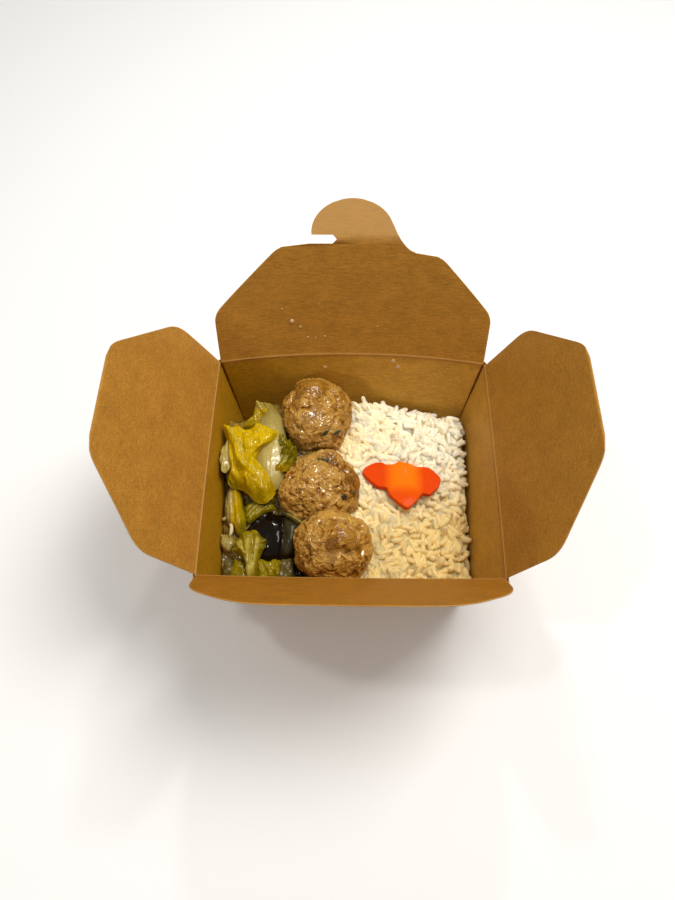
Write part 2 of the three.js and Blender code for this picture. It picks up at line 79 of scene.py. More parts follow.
CARD = 0.46                 # thickness
CREASE_RIDGE = (0.16, 0.42)    # height and half width of the ridge along a crease
CARD_WAVE = (34.0, 0.28)    # length and height of the slow waves of a panel
WALL_LEAN = 9.5             # how far a wall leans out between its foot and its rim
BACK_BULGE = 5.5            # how far the back wall's rim stands out at its middle
BACK_CORNER = BACK_LINE - BACK_BULGE / 2
WEB_REACH = 45.0            # length of the folded corner webs along the side walls, at the rim
WEB_DROP = 1.7              # how far the webs stop below the rim
CORNER_GAP = 1.4            # width of the open fold in a corner, at the rim
POCKET_DEPTH = 2.4          # how far the fold stands out behind the corner
FLAP_ANGLES = {"left": 60.0, "right": 66.1, "back": 65.0, "front": 63.6}
PANEL_SHADES = {"front": 0.8}     # how much painted shade darkens the inner face of a wall and its flap

# Outlines of the flaps, as corners [along the crease, away from it] and the rounding of each.
SIDE_REACH = 64.2
SIDE_OUTLINE = [((53.0, 0.0), 0.0), ((52.8, 32.7), 7.0), ((23.0, SIDE_REACH), 6.0), ((0.0, SIDE_REACH), 0.0)]
# The left flap is wider at the back.
LEFT_BACK = [((54.2, 0.0), 0.0), ((56.3, 30.6), 7.0), ((24.0, SIDE_REACH), 6.0), ((0.0, SIDE_REACH), 0.0)]
FRONT_REACH = 54.0
FRONT_OUTLINE = [((64.0, 0.0), 0.0), ((61.8, 27.6), 10.0), ((38.0, FRONT_REACH), 14.0),
                 ((0.0, FRONT_REACH), 0.0)]
BACK_RIGHT = [((64.0, 0.0), 0.0), ((64.6, 24.6), 4.0), ((38.6, 51.4), 5.0), ((26.6, 51.8), 4.0),
              ((20.6, 57.6), 5.0), ((17.1, 65.0), 3.0)]
BACK_LEFT = [((64.0, 0.0), 0.0), ((64.6, 24.6), 4.0), ((32.5, 55.4), 5.0), ((19.4, 56.0), 0.3)]
TAB_CENTRE = (-0.4, 61.0)
TAB_RADIUS = (18.1, 13.9)
TAB_TOP = TAB_CENTRE[1] + TAB_RADIUS[1]
SLOT_FOOT = 56.0
SLOT_WIDTH = 3.9
SLOT_END = -7.3
TAB_BEND = 13.0             # degrees that the tab leans back from the flap
TAB_BEND_ROWS = (55.5, 61.5)   # distances from the crease between which it bends

# Water drops: on the back flap [along, reach from the crease], on the back wall [along, depth], with radii.
FLAP_DROPS = [(-28.6, 18.4, 1.1), (-24.8, 15.2, 0.6), (-21.2, 9.6, 0.45), (-17.6, 9.2, 0.4),
              (-13.2, 9.8, 0.45), (-33.0, 25.0, 0.4), (12.0, 15.5, 0.4)]
WALL_DROPS = [(20.6, 3.6, 1.1), (23.4, 7.4, 1.1), (-13.5, 8.5, 0.9)]
DROP_ROOT = 0.35            # depth of a drop's half below the card's face, as a share of its height

# ---- measures of the food --------------------------------------------------------------------

PLEAT_WIDTH = 1.5
PLEAT_LENGTH = 9.0
BALLS = {
    "meatball_back": dict(centre=(-17.7, 35.2, 44.0), radius=(17.3, 18.8, 17.2), turn=0.0, seed=3,
                          smooth=(120, 74), grey=(-95, 40), browned=0.05),
    "meatball_middle": dict(centre=(-15.3, -2.2, 37.4), radius=(19.6, 18.2, 17.6), turn=1.7, seed=8,
                            smooth=(15, 35), grey=(110, 50), browned=0.65),
    "meatball_front": dict(centre=(-8.4, -32.8, 43.3), radius=(17.0, 16.2, 15.8), turn=3.1, seed=14,
                           smooth=(-35, 62), grey=(-120, 50), browned=0.0),
}
LUMP_HEIGHT = 1.1
CARROT_CENTRE = (25.3, 3.2, 36.6)
CARROT_THICKNESS = 3.0
CARROT_TILT = (-4.0, 4.0)
# Outline of the slice [x, y] at the height of its top.
CARROT_OUTLINE = [
    (5.6, 6.2), (6.2, 8.8), (8.9, 10.9), (12.2, 12.4), (15.2, 12.6), (17.0, 11.7), (20.9, 12.0), (23.9, 13.5),
    (28.7, 12.6), (32.9, 11.2), (39.0, 10.7), (43.8, 5.8), (44.1, 3.3), (42.6, -0.2), (38.3, -4.2),
    (34.8, -4.0), (30.9, -8.8), (27.0, -12.2), (22.2, -9.1), (18.5, -5.1), (17.2, -1.6), (13.0, -0.9),
    (8.9, 2.3),
]
CARROT_PULL = 0.3           # how far the outline swings round its corners
HEAP_FOOT = 0.6             # height of the underside of the rice and the soaked bed
FOOT_CLEARANCE = 1.2        # gap between that underside and the walls
CLUMP = 9.5                 # size of the clumps of rice
RICE_FRONT = -51.0          # how far the middles of loose grains go to the front, the back and the right
RICE_BACK = 50.5
RICE_RIGHT = 59.6


# ---- arrays: smooth steps, noise and cells ---------------------------------------------------

def smooth(low, high, value):
    """0 below `low`, 1 above `high`, and 3t^2 - 2t^3 of the share t between them."""
    share = np.clip((value - low) / (high - low), 0.0, 1.0)
    return share * share * (3.0 - 2.0 * share)


def lattice(cell, seed):
    """A repeatable number in 0..1 for each whole-number cell: the three indices times large odd
    numbers, mixed by shifts, and cut to 24 bits."""
    mixed = cell[..., 0] * 73856093 ^ cell[..., 1] * 19349663 ^ cell[..., 2] * 83492791 ^ seed * 2654435761
    mixed = (mixed ^ (mixed >> 13)) * 1274126177
    mixed = mixed ^ (mixed >> 16)
    return (mixed & 0xFFFFFF) / float(0xFFFFFF)


def noise(points, size, seed=0):
    """Smooth noise in -1..1: lattice numbers at the corners of cubes of edge `size`, blended by the
    smoothstep of the place inside the cube."""
    scaled = points / size
    base = np.floor(scaled).astype(np.int64)
    share = scaled - base
    share = share * share * (3.0 - 2.0 * share)
    total = 0.0
    for corner in np.ndindex(2, 2, 2):
        step = np.array(corner)
        weight = np.prod(np.where(step, share, 1.0 - share), axis=-1)
        total = total + weight * lattice(base + step, seed)
    return 2.0 * total - 1.0


def layered(points, size, layers, seed=0):
    """Sum of noise layers, each half the size and half the height of the one before."""
    total = 0.0
    for layer in range(layers):
        total = total + noise(points, size * 0.5 ** layer, seed + 17 * layer) * 0.5 ** layer
    return total


def cells(points, size, seed=0):
    """Distances, in shares of `size`, to the nearest and second nearest of points that lie one in
    each cube of edge `size`, at lattice places inside it."""
    scaled = points / size
    base = np.floor(scaled).astype(np.int64)
    nearest = np.full(scaled.shape[:-1], 9.0)
    second = nearest.copy()
    for corner in np.ndindex(3, 3, 3):
        cell = base + np.array(corner) - 1
        place = np.stack([lattice(cell, seed + axis) for axis in range(3)], axis=-1)
        distance = np.linalg.norm(cell + place - scaled, axis=-1)
        second = np.minimum(second, np.maximum(nearest, distance))
        nearest = np.minimum(nearest, distance)
    return nearest, second


def closed_curve(corners, count, pull=0.5):
    """A closed curve through corners, as `count` points: between two corners it is the cubic whose
    tangents are `pull` times the run from the corner before to the corner after."""
    corners = np.array(corners, dtype=float)
    share = np.arange(count) / count * len(corners)
    index = np.floor(share).astype(int)
    t = (share - index)[:, None]
    a, b, c, d = (corners[(index + step) % len(corners)] for step in (-1, 0, 1, 2))
    eased = t * t * (3 - 2 * t)
    leaving, arriving = pull * (c - a), pull * (d - b)
    return b + (c - b) * eased + leaving * t * (1 - t) ** 2 - arriving * t * t * (1 - t)


# ---- arrays into meshes ----------------------------------------------------------------------

def enclosed(points, faces):
    """Six times the volume inside closed faces: below 0 where they face inwards."""
    total = 0.0
    for part in faces:
        for corner in range(1, part.shape[1] - 1):
            sides = np.cross(points[part[:, corner]], points[part[:, corner + 1]])
            total += np.sum(points[part[:, 0]] * sides)
    return total


def build_mesh(name, points, faces, attributes=None, uv=None):
    """A closed smooth-shaded mesh object at the origin, facing outwards. `points` are millimetres,
    `faces` is a list of whole arrays of triangles or quads, `attributes` maps names to one number for
    each point."""
    mesh = bpy.data.meshes.new(name)
    points = np.asarray(points, dtype=np.float32).reshape(-1, 3)
    if enclosed(points, faces) < 0:
        faces = [part[:, ::-1] for part in faces]
    mesh.vertices.add(len(points))
    mesh.vertices.foreach_set("co", (points * MM).ravel())
    totals = np.concatenate([np.full(len(part), part.shape[1]) for part in faces])
    corners = np.concatenate([part.ravel() for part in faces])
    mesh.loops.add(len(corners))
    mesh.loops.foreach_set("vertex_index", corners.astype(np.int32))
    mesh.polygons.add(len(totals))
    mesh.polygons.foreach_set("loop_start", np.concatenate([[0], np.cumsum(totals)[:-1]]).astype(np.int32))
    mesh.polygons.foreach_set("use_smooth", np.ones(len(totals), dtype=bool))
    mesh.update(calc_edges=True)
    mesh.validate()
    for key, values in (attributes or {}).items():
        layer = mesh.attributes.new(key, "FLOAT", "POINT")
        layer.data.foreach_set("value", np.asarray(values, dtype=np.float32).ravel())
    if uv is not None:
        layer = mesh.uv_layers.new(name="UVMap")
        index = np.empty(len(mesh.loops), dtype=np.int32)
        mesh.loops.foreach_get("vertex_index", index)
        layer.data.foreach_set("uv", np.asarray(uv, dtype=np.float32).reshape(-1, 2)[index].ravel())
    obj = bpy.data.objects.new(name, mesh)
    bpy.context.scene.collection.objects.link(obj)
    return obj


def grid_quads(rows, columns, wrap=False):
    """Quads of a grid of rows by columns points, joined round its columns if `wrap`."""
    index = np.arange(rows * columns).reshape(rows, columns)
    if wrap:
        index = np.concatenate([index, index[:, :1]], axis=1)
    return np.stack([index[:-1, :-1], index[:-1, 1:], index[1:, 1:], index[1:, :-1]], axis=-1).reshape(-1, 4)


def slab_faces(rows, columns):
    """Faces of a solid between two grids, the upper one's points first: both grids, and a strip of
    quads round the rim."""
    upper = grid_quads(rows, columns)
    count = rows * columns
    index = np.arange(count).reshape(rows, columns)
    rim = np.concatenate([index[0, :-1], index[:-1, -1], index[-1, :0:-1], index[:0:-1, 0]])
    after = np.roll(rim, -1)
    strip = np.stack([rim, rim + count, after + count, after], axis=-1)
    return [upper, upper[:, ::-1] + count, strip]


def unit(vectors):
    """Vectors divided by their own length."""
    return vectors / np.maximum(np.linalg.norm(vectors, axis=-1, keepdims=True), 1e-12)


def grid_normals(points):
    """Unit normals of a grid: the cross product of its steps along the columns and along the rows."""
    along_columns = np.gradient(points, axis=1)
    along_rows = np.gradient(points, axis=0)
    return unit(np.cross(along_columns, along_rows))


def thin_sheet(name, middle, half, attributes=None):
    """A closed thin solid: every point of the `middle` grid is moved by `half` along the grid's
    normal to both sides, both faces are split alike, and a strip closes the rim. An attribute is one
    grid of numbers, or two where the two faces differ."""
    rows, columns = middle.shape[:2]
    normals = grid_normals(middle)
    half = np.broadcast_to(np.asarray(half, dtype=float), (rows, columns))[..., None]
    points = np.concatenate([middle + normals * half, middle - normals * half])
    along, across = np.meshgrid(np.linspace(0, 1, columns), np.linspace(0, 1, rows))
    uv = np.stack([along, across], axis=-1).reshape(-1, 2)
    doubled = {key: np.broadcast_to(values, (2, rows, columns)).ravel()
               for key, values in (attributes or {}).items()}
    return build_mesh(name, points, slab_faces(rows, columns), doubled, np.tile(uv, (2, 1)))


def ball_faces(rows, columns):
    """Faces of rings between two poles: quads between the rings, a fan round each pole. The top pole
    comes after the rings' points, and the bottom pole after it."""
    first = np.arange(columns)
    following = np.roll(first, -1)
    top = np.full(columns, rows * columns)
    last = (rows - 1) * columns
    return [
        grid_quads(rows, columns, wrap=True)[:, ::-1],
        np.stack([top, first, following], axis=-1),
        np.stack([top + 1, following + last, first + last], axis=-1),
    ]


def joined_balls(name, balls, tones=None):
    """Closed balls of one grid as one mesh. Each is given as its rings and its two poles, and `tones`
    as one number for each."""
    parts = ball_faces(*balls[0][0].shape[:2])
    points = [np.concatenate([rings.reshape(-1, 3), poles]) for rings, poles in balls]
    size = len(points[0])
    faces = [np.concatenate([part + index * size for index in range(len(balls))]) for part in parts]
    marks = {} if tones is None else {"tone": np.repeat(tones, size)}
    return build_mesh(name, np.concatenate(points), faces, marks)


def closed_ball(name, rings, top, bottom, attributes=None):
    """A closed solid from rings of points between a top and a bottom point."""
    points = np.concatenate([rings.reshape(-1, 3), [top], [bottom]])
    padded = {key: np.concatenate([values.ravel(), [values[0].mean(), values[-1].mean()]])
              for key, values in (attributes or {}).items()}
    return build_mesh(name, points, ball_faces(*rings.shape[:2]), padded)


# ---- shader nodes ----------------------------------------------------------------------------

class Tree:
    """A few short ways to place and join shader nodes."""

    def __init__(self, tree):
        self.tree = tree

    def node(self, kind, inputs=None, **settings):
        made = self.tree.nodes.new(kind)
        for key, value in settings.items():
            setattr(made, key, value)
        for key, value in (inputs or {}).items():
            self.put(made.inputs[key], value)
        return made

    def put(self, socket, value):
        """Joins a socket to another one, or sets it. A colour comes without its alpha."""
        if isinstance(value, bpy.types.NodeSocket):
            self.tree.links.new(value, socket)
        elif socket.type == "RGBA":
            socket.default_value = (*value, 1.0)
        else:
            socket.default_value = value

    def maths(self, operation, first, second=0.0, third=0.0):
        made = self.node("ShaderNodeMath", operation=operation)
        for socket, value in zip(made.inputs, (first, second, third)):
            self.put(socket, value)
        return made.outputs[0]

    def mix(self, share, first, second, blend="MIX"):
        made = self.node("ShaderNodeMix", data_type="RGBA", blend_type=blend)
        self.put(made.inputs[0], share)
        self.put(made.inputs[6], first)
        self.put(made.inputs[7], second)
        return made.outputs[2]

    def ramp(self, value, stops):
        """Maps a number to a colour between stops of (place, colour)."""
        made = self.node("ShaderNodeValToRGB", {"Fac": value})
        elements = made.color_ramp.elements
        while len(elements) < len(stops):
            elements.new(0.5)
        for element, (place, colour) in zip(elements, stops):
            element.position = place
            element.color = (*colour, 1.0)
        return made.outputs["Color"]

    def span(self, value, low, high, to_low=0.0, to_high=1.0):
        """Maps low..high to to_low..to_high, without going past either."""
        made = self.node("ShaderNodeMapRange", {
            "Value": value, "From Min": low, "From Max": high, "To Min": to_low, "To Max": to_high,
        })
        return made.outputs["Result"]

    def millimetres(self):
        """Object coordinates in millimetres."""
        place = self.node("ShaderNodeTexCoord").outputs["Object"]
        made = self.node("ShaderNodeVectorMath", {"Scale": 1000.0}, operation="SCALE")
        self.put(made.inputs[0], place)
        return made.outputs["Vector"]

    def noise(self, place, size, detail=2.0, roughness=0.5, distortion=0.0):
        """Noise of patches about `size` millimetres across."""
        return self.node("ShaderNodeTexNoise", {
            "Vector": place, "Scale": 1.0 / size, "Detail": detail, "Roughness": roughness,
            "Distortion": distortion,
        }).outputs["Fac"]

    def group(self, name, **inputs):
        made = self.node("ShaderNodeGroup")
        made.node_tree = bpy.data.node_groups[name]
        for key, value in inputs.items():
            self.put(made.inputs[key.replace("_", " ")], value)
        return made

    def attribute(self, name):
        return self.node("ShaderNodeAttribute", attribute_name=name).outputs["Fac"]


def new_group(name, inputs, outputs):
    """An empty node group with named sockets; returns its helper, its input node and output node."""
    tree = bpy.data.node_groups.new(name, "ShaderNodeTree")
    kinds = {"vector": "NodeSocketVector", "number": "NodeSocketFloat", "colour": "NodeSocketColor"}
    for key, kind, default in inputs:
        socket = tree.interface.new_socket(name=key, in_out="INPUT", socket_type=kinds[kind])
        if default is not None:
            socket.default_value = default
    for key, kind in outputs:
        tree.interface.new_socket(name=key, in_out="OUTPUT", socket_type=kinds[kind])
    helper = Tree(tree)
    return helper, helper.node("NodeGroupInput").outputs, helper.node("NodeGroupOutput").inputs


def make_card_fibre_group():
    """Pressed paper: short fibres lying every way, dark and light specks, and broad clouds."""
    tree, given, result = new_group(
        "Card fibre",
        [("Place", "vector", None)],
        [("Clouds", "number"), ("Fibres", "number"), ("Specks", "number"), ("Height", "number")],
    )

    def streaks(turn, stretch):
        mapped = tree.node("ShaderNodeMapping", {
            "Vector": given["Place"], "Rotation": turn, "Scale": stretch,
        })
        return tree.noise(mapped.outputs["Vector"], 0.7, 4.0, 0.65, 0.6)

    first = streaks((0.0, 0.1, 0.06), (0.14, 1.0, 1.0))
    second = streaks((0.9, -0.4, -0.9), (1.0, 0.3, 1.0))
    fibres = tree.maths("MULTIPLY_ADD", first, 0.6, tree.maths("MULTIPLY", second, 0.4))
    fine = tree.noise(given["Place"], 0.5, 3.0, 0.7)
    specks = tree.span(tree.noise(given["Place"], 0.8, 1.0, 0.4), 0.64, 0.72)
    clouds = tree.noise(given["Place"], 9.0, 6.0, 0.75)
    height = tree.maths("MULTIPLY_ADD", fine, 0.6, fibres)
    for key, value in (("Clouds", clouds), ("Fibres", fibres), ("Specks", specks), ("Height", height)):
        tree.put(result[key], value)


def make_wet_group():
    """A wet skin: soft dimples and small ripples that break highlights into glints."""
    tree, given, result = new_group(
        "Wet ripples",
        [("Place", "vector", None), ("Size", "number", 1.0), ("Ripple", "number", 1.0)],
        [("Height", "number"), ("Patches", "number")],
    )
    scaled = tree.node("ShaderNodeVectorMath", operation="DIVIDE")
    tree.put(scaled.inputs[0], given["Place"])
    spread = tree.node("ShaderNodeCombineXYZ", {"X": given["Size"], "Y": given["Size"], "Z": given["Size"]})
    tree.put(scaled.inputs[1], spread.outputs["Vector"])
    place = scaled.outputs["Vector"]
    dimples = tree.node("ShaderNodeTexVoronoi", {"Vector": place, "Scale": 0.9}, feature="SMOOTH_F1")
    ripples = tree.noise(place, 1.1, 3.0, 0.6, 0.6)
    height = tree.maths("ADD", dimples.outputs["Distance"], tree.maths("MULTIPLY", ripples, given["Ripple"]))
    tree.put(result["Height"], height)
    tree.put(result["Patches"], tree.noise(place, 4.0, 2.0, 0.5))


def new_material(name):
    """A material with a bare Principled shader. Returns the material, its node helper, the shader and
    the place in millimetres."""
    material = bpy.data.materials.new(name)
    material.use_nodes = True
    tree = Tree(material.node_tree)
    return material, tree, material.node_tree.nodes["Principled BSDF"], tree.millimetres()


def finish_shader(tree, shader, colour=None, roughness=None, height=None, strength=0.5, depth=0.3, **numbers):
    """Joins what varies to the shader and sets what is the same all over on its own sockets."""
    if colour is not None:
        tree.put(shader.inputs["Base Color"], colour)
    if roughness is not None:
        tree.put(shader.inputs["Roughness"], roughness)
    if height is not None:
        bump = tree.node("ShaderNodeBump", {"Height": height, "Strength": strength, "Distance": depth * MM})
        tree.put(shader.inputs["Normal"], bump.outputs["Normal"])
    for key, value in numbers.items():
        shader.inputs[key.replace("_", " ")].default_value = value


def shade(colour, factor):
    """A colour made lighter or darker."""
    return tuple(min(1.0, channel * factor) for channel in colour)


def card_material(settings):
    """Brown kraft card: clouds, fibres and specks, a pale line along each cut edge, a pale line along each
    crease that is a painted highlight, and a tab made paler as a painted sheen.
    The walls' inner faces are made paler as painted bounce light, less so and yellower on the left, and the
    front wall's and flap's inner face is darkened as painted shade."""
    material, tree, shader, place = new_material("Kraft card")
    fibre = tree.group("Card fibre", Place=place)
    base = settings.colour
    line = settings.crease_highlight_and_edge_colour
    colour = tree.ramp(fibre.outputs["Clouds"], [(0.34, shade(base, 0.88)), (0.66, shade(base, 1.12))])
    light = tree.span(fibre.outputs["Fibres"], 0.5, 0.66, 0.0, 0.6)
    colour = tree.mix(light, colour, shade(base, 1.45))
    dark = tree.span(fibre.outputs["Fibres"], 0.5, 0.36, 0.0, 0.6)
    colour = tree.mix(dark, colour, shade(base, 0.6))
    speck = tree.maths("MULTIPLY", fibre.outputs["Specks"], 0.3)
    colour = tree.mix(speck, colour, shade(base, 1.8))
    # Painted bounce light on the walls' inner faces: paler towards the right and the back, darker and
    # yellower on the left.
    parts = tree.node("ShaderNodeSeparateXYZ", {"Vector": place})
    to_right = tree.span(parts.outputs["X"], -60.0, 25.0)
    lining = tree.mix(to_right, settings.left_wall_light_tint, settings.wall_light_tint)
    colour = tree.mix(tree.attribute("lining"), colour, lining, "MULTIPLY")
    # Painted shade on the inner face of the front wall and flap.
    colour = tree.mix(tree.attribute("stain"), colour, settings.panel_shade_tint, "MULTIPLY")
    # Painted sheen on the tab that leans back.
    colour = tree.mix(tree.maths("MULTIPLY", tree.attribute("worn"), 0.55), colour, settings.tab_sheen_colour)
    # Painted highlight along each crease, and a pale line of cut card along each cut edge.
    colour = tree.mix(tree.maths("MULTIPLY", tree.attribute("crease"), 0.6), colour, line)
    colour = tree.mix(tree.maths("MULTIPLY", tree.attribute("cut"), 0.4), colour, line)
    rough = tree.span(fibre.outputs["Clouds"], 0.3, 0.7, 0.46, 0.6)
    finish_shader(tree, shader, colour, rough, fibre.outputs["Height"], 0.4, 0.12, Specular_IOR_Level=0.1)
    return material


def rice_material(settings, name="Cooked rice", tint=1.0):
    """Cooked grains: milky and slightly see-through, warmer where the meat juices reached them, duller in
    front as painted shade, and olive-brown down in the gaps as painted shade."""
    material, tree, shader, place = new_material(name)
    parts = tree.node("ShaderNodeSeparateXYZ", {"Vector": place})
    warm_side = tree.maths("MULTIPLY_ADD", parts.outputs["Y"], 0.5, parts.outputs["X"])
    warm_side = tree.span(warm_side, 48.0, -12.0)
    patches = tree.span(tree.noise(place, 14.0, 2.0, 0.5), 0.38, 0.62)
    warmth = tree.maths("MULTIPLY", warm_side, tree.maths("MULTIPLY_ADD", patches, 0.5, 0.6))
    clean, warm, front_shade = (shade(colour, tint) for colour in (
        settings.colour, settings.warm_colour, settings.front_shade_colour))
    colour = tree.mix(warmth, clean, warm)
    # Painted shade towards the front of the rice.
    in_front = tree.span(tree.maths("MULTIPLY_ADD", parts.outputs["X"], -0.4, parts.outputs["Y"]), 2.0, -34.0)
    colour = tree.mix(in_front, colour, front_shade)
    # Painted shade deep in the gaps, by each point's tone.
    colour = tree.mix(tree.span(tree.attribute("tone"), 0.0, 1.0, 0.0, 0.95), colour, settings.gap_shade_colour)
    fine = tree.noise(place, 0.7, 2.0, 0.5)
    finish_shader(
        tree, shader, colour, tree.span(fine, 0.3, 0.7, 0.3, 0.45), fine, 0.2, 0.1,
        Subsurface_Weight=0.9, Subsurface_Scale=0.0026, Specular_IOR_Level=0.08,
    )
    shader.subsurface_method = "BURLEY"
    shader.inputs["Subsurface Radius"].default_value = (1.0, 0.75, 0.35)
    return material


def meat_material(settings):
    """Browned minced meat with a broken glaze: golden lumps lightened on top as painted highlight, hollows
    darkened as painted shade, a few greyish patches, and beads of fat that catch the light."""
    material, tree, shader, place = new_material("Glazed meat")
    relief = tree.attribute("relief")
    calm = tree.attribute("calm")
    wet = tree.group("Wet ripples", Place=place, Size=0.8, Ripple=1.4)
    broad = tree.noise(place, 3.6, 3.0, 0.6, 0.5)
    fine = tree.noise(place, 0.8, 4.0, 0.7)
    light = settings.light_colour
    golden = settings.golden_colour
    colour = tree.ramp(broad, [(0.36, golden), (0.5, light), (0.64, settings.pink_colour)])
    brown = tree.span(tree.noise(place, 9.0, 2.0, 0.5), 0.5, 0.64, 0.0, 0.7)
    brown = tree.maths("MAXIMUM", brown, tree.attribute("browned"))
    colour = tree.mix(brown, colour, settings.brown_colour)
    colour = tree.mix(tree.maths("MULTIPLY", calm, 0.6), colour, shade(light, 0.95))
    colour = tree.mix(tree.maths("MULTIPLY", tree.attribute("grey"), 0.4), colour, settings.grey_colour)
    colour = tree.mix(tree.span(fine, 0.46, 0.7, 0.0, 0.6), colour, shade(golden, 0.6))
    colour = tree.mix(tree.span(fine, 0.45, 0.3, 0.0, 0.5), colour, shade(light, 1.3))
    # Painted shade in the hollows and painted highlight on top of the lumps, by the relief.
    colour = tree.mix(tree.span(relief, 0.5, 0.12, 0.0, 0.9), colour, settings.hollow_shade_colour)
    colour = tree.mix(tree.span(relief, 0.58, 0.9, 0.0, 0.6), colour, settings.lump_highlight_colour)
    height = tree.maths("MULTIPLY_ADD", fine, 1.6, wet.outputs["Height"])
    beads = tree.span(tree.noise(place, 1.5, 1.0, 0.5), 0.5, 0.58, 0.08, 1.0)
    tree.put(shader.inputs["Coat Weight"], tree.maths("MAXIMUM", beads, tree.maths("MULTIPLY", calm, 0.35)))
    finish_shader(
        tree, shader, colour, tree.span(fine, 0.3, 0.7, 0.35, 0.55), height, 0.85, 0.6,
        Specular_IOR_Level=0.06, Coat_IOR=1.8, Coat_Roughness=0.06,
    )
    return material


def fleck_material(settings):
    """Herb scraps, a dark fungus chip and yellow bits, told apart by their tone."""
    material, tree, shader, place = new_material("Herb flecks")
    stops = [(0.0, settings.herb_colour), (0.5, (0.02, 0.015, 0.01)), (1.0, settings.bit_colour)]
    colour = tree.ramp(tree.attribute("tone"), stops)
    fine = tree.noise(place, 0.6, 3.0, 0.6)
    colour = tree.mix(tree.span(fine, 0.5, 0.75, 0.0, 0.5), colour, (0.2, 0.15, 0.02))
    finish_shader(tree, shader, colour, 0.35, fine, 0.5, 0.2, Coat_Weight=0.6, Coat_Roughness=0.08)
    return material


def leaf_material(name, stops, wet=0.8, see_through=0.25, size=1.3, height=0.35):
    """A wet braised leaf: `stops` colour it by the piece's own tone, veins are paler, and the sauce
    stands on it in beads."""
    material, tree, shader, place = new_material(name)
    skin = tree.group("Wet ripples", Place=place, Size=size, Ripple=1.2)
    wobble = tree.maths("MULTIPLY_ADD", tree.noise(place, 4.0, 3.0, 0.6), 0.5, -0.25)
    colour = tree.ramp(tree.maths("ADD", tree.attribute("tone"), wobble), stops)
    fine = tree.span(tree.noise(place, 1.2, 3.0, 0.6), 0.45, 0.75, 0.0, 0.35)
    colour = tree.mix(fine, colour, shade(stops[-1][1], 0.75))
    veins = tree.span(tree.attribute("vein"), 0.15, 0.9, 0.0, 0.7)
    colour = tree.mix(veins, colour, (0.5, 0.41, 0.08))
    beads = tree.span(tree.noise(place, 1.7, 2.0, 0.5), 0.5, 0.62, 0.4 * wet, min(1.0, 1.7 * wet))
    tree.put(shader.inputs["Coat Weight"], beads)
    finish_shader(
        tree, shader, colour, tree.span(skin.outputs["Patches"], 0.3, 0.7, 0.3, 0.5),
        skin.outputs["Height"], height, 0.3, Specular_IOR_Level=0.05,
        Subsurface_Weight=see_through, Subsurface_Scale=0.002, Coat_IOR=1.65, Coat_Roughness=0.05,
    )
    shader.inputs["Subsurface Radius"].default_value = (1.0, 0.9, 0.25)
    return material


def ear_material(settings):
    """Wood ear: nearly black and glossy, with its right lobe painted a dull grey-green as a sheen."""
    material, tree, shader, place = new_material("Wood ear")
    skin = tree.group("Wet ripples", Place=place, Size=2.6, Ripple=0.5)
    # The tone marks the right lobe, painted grey-green as a sheen.
    lobe_sheen = tree.attribute("tone")
    colour = tree.mix(lobe_sheen, settings.colour, settings.lobe_sheen_colour)
    finish_shader(
        tree, shader, colour, tree.span(lobe_sheen, 0.0, 1.0, 0.14, 0.4), skin.outputs["Height"], 0.15, 0.3,
        Specular_IOR_Level=0.1, Coat_Weight=0.18, Coat_Roughness=0.05,
    )
    return material


def carrot_material(settings):
    """Cooked carrot: a paler core band down the middle, deep orange lobes, a smooth moist skin."""
    material, tree, shader, place = new_material("Carrot")
    fine = tree.noise(place, 0.9, 3.0, 0.6)
    broad = tree.maths("MULTIPLY_ADD", tree.noise(place, 6.0, 2.0, 0.5), 0.2, -0.1)
    edge = tree.maths("ADD", tree.attribute("tone"), broad)
    colour = tree.mix(tree.span(edge, 0.1, 0.9), settings.core_colour, settings.colour)
    colour = tree.mix(tree.span(fine, 0.55, 0.8, 0.0, 0.12), colour, (0.9, 0.4, 0.05))
    skin = tree.group("Wet ripples", Place=place, Size=2.2, Ripple=0.5)
    finish_shader(
        tree, shader, colour, tree.span(fine, 0.3, 0.7, 0.24, 0.36), skin.outputs["Height"], 0.12, 0.2,
        Specular_IOR_Level=0.03, Coat_Weight=0.05, Coat_Roughness=0.08,
    )
    return material


def sauce_material(settings):
    """Thin braising sauce over soaked scraps: brown-olive, with bright broken glints."""
    material, tree, shader, place = new_material("Braising sauce")
    skin = tree.group("Wet ripples", Place=place, Size=1.0, Ripple=1.4)
    base = settings.sauce_colour
    stops = [(0.35, shade(base, 0.4)), (0.5, base), (0.66, shade(base, 1.9))]
    colour = tree.ramp(tree.noise(place, 4.0, 3.0, 0.6), stops)
    finish_shader(
        tree, shader, colour, 0.3, skin.outputs["Height"], 0.7, 0.5, Specular_IOR_Level=0.2,
        Coat_Weight=0.8, Coat_Roughness=0.04,
    )
    return material


def water_material():
    """Drops of condensed steam, coloured paler than the card under them as painted light that they gather."""
    material, tree, shader, place = new_material("Water drops")
    # Pale colours as painted light gathered by the drops.
    stops = [(0.3, (0.5, 0.33, 0.15)), (0.7, (0.66, 0.46, 0.24))]
    colour = tree.ramp(tree.noise(place, 1.0, 1.0, 0.5), stops)
    finish_shader(tree, shader, colour, 0.15, Coat_Weight=1.0, Coat_Roughness=0.03)
    return material


def floor_material(settings):
    """A plain pale floor with the faintest unevenness."""
    material, tree, shader, place = new_material("Pale floor")
    base = settings.floor_colour
    colour = tree.ramp(tree.noise(place, 300.0, 2.0, 0.5), [(0.3, shade(base, 0.99)), (0.7, base)])
    finish_shader(tree, shader, colour, 0.9, Specular_IOR_Level=0.1)
    return material


def dress(obj, material, body="box"):
    """Gives a piece its material and the body it moves with."""
    obj.data.materials.append(material)
    if body:
        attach(obj, body)


# ---- the card box ----------------------------------------------------------------------------

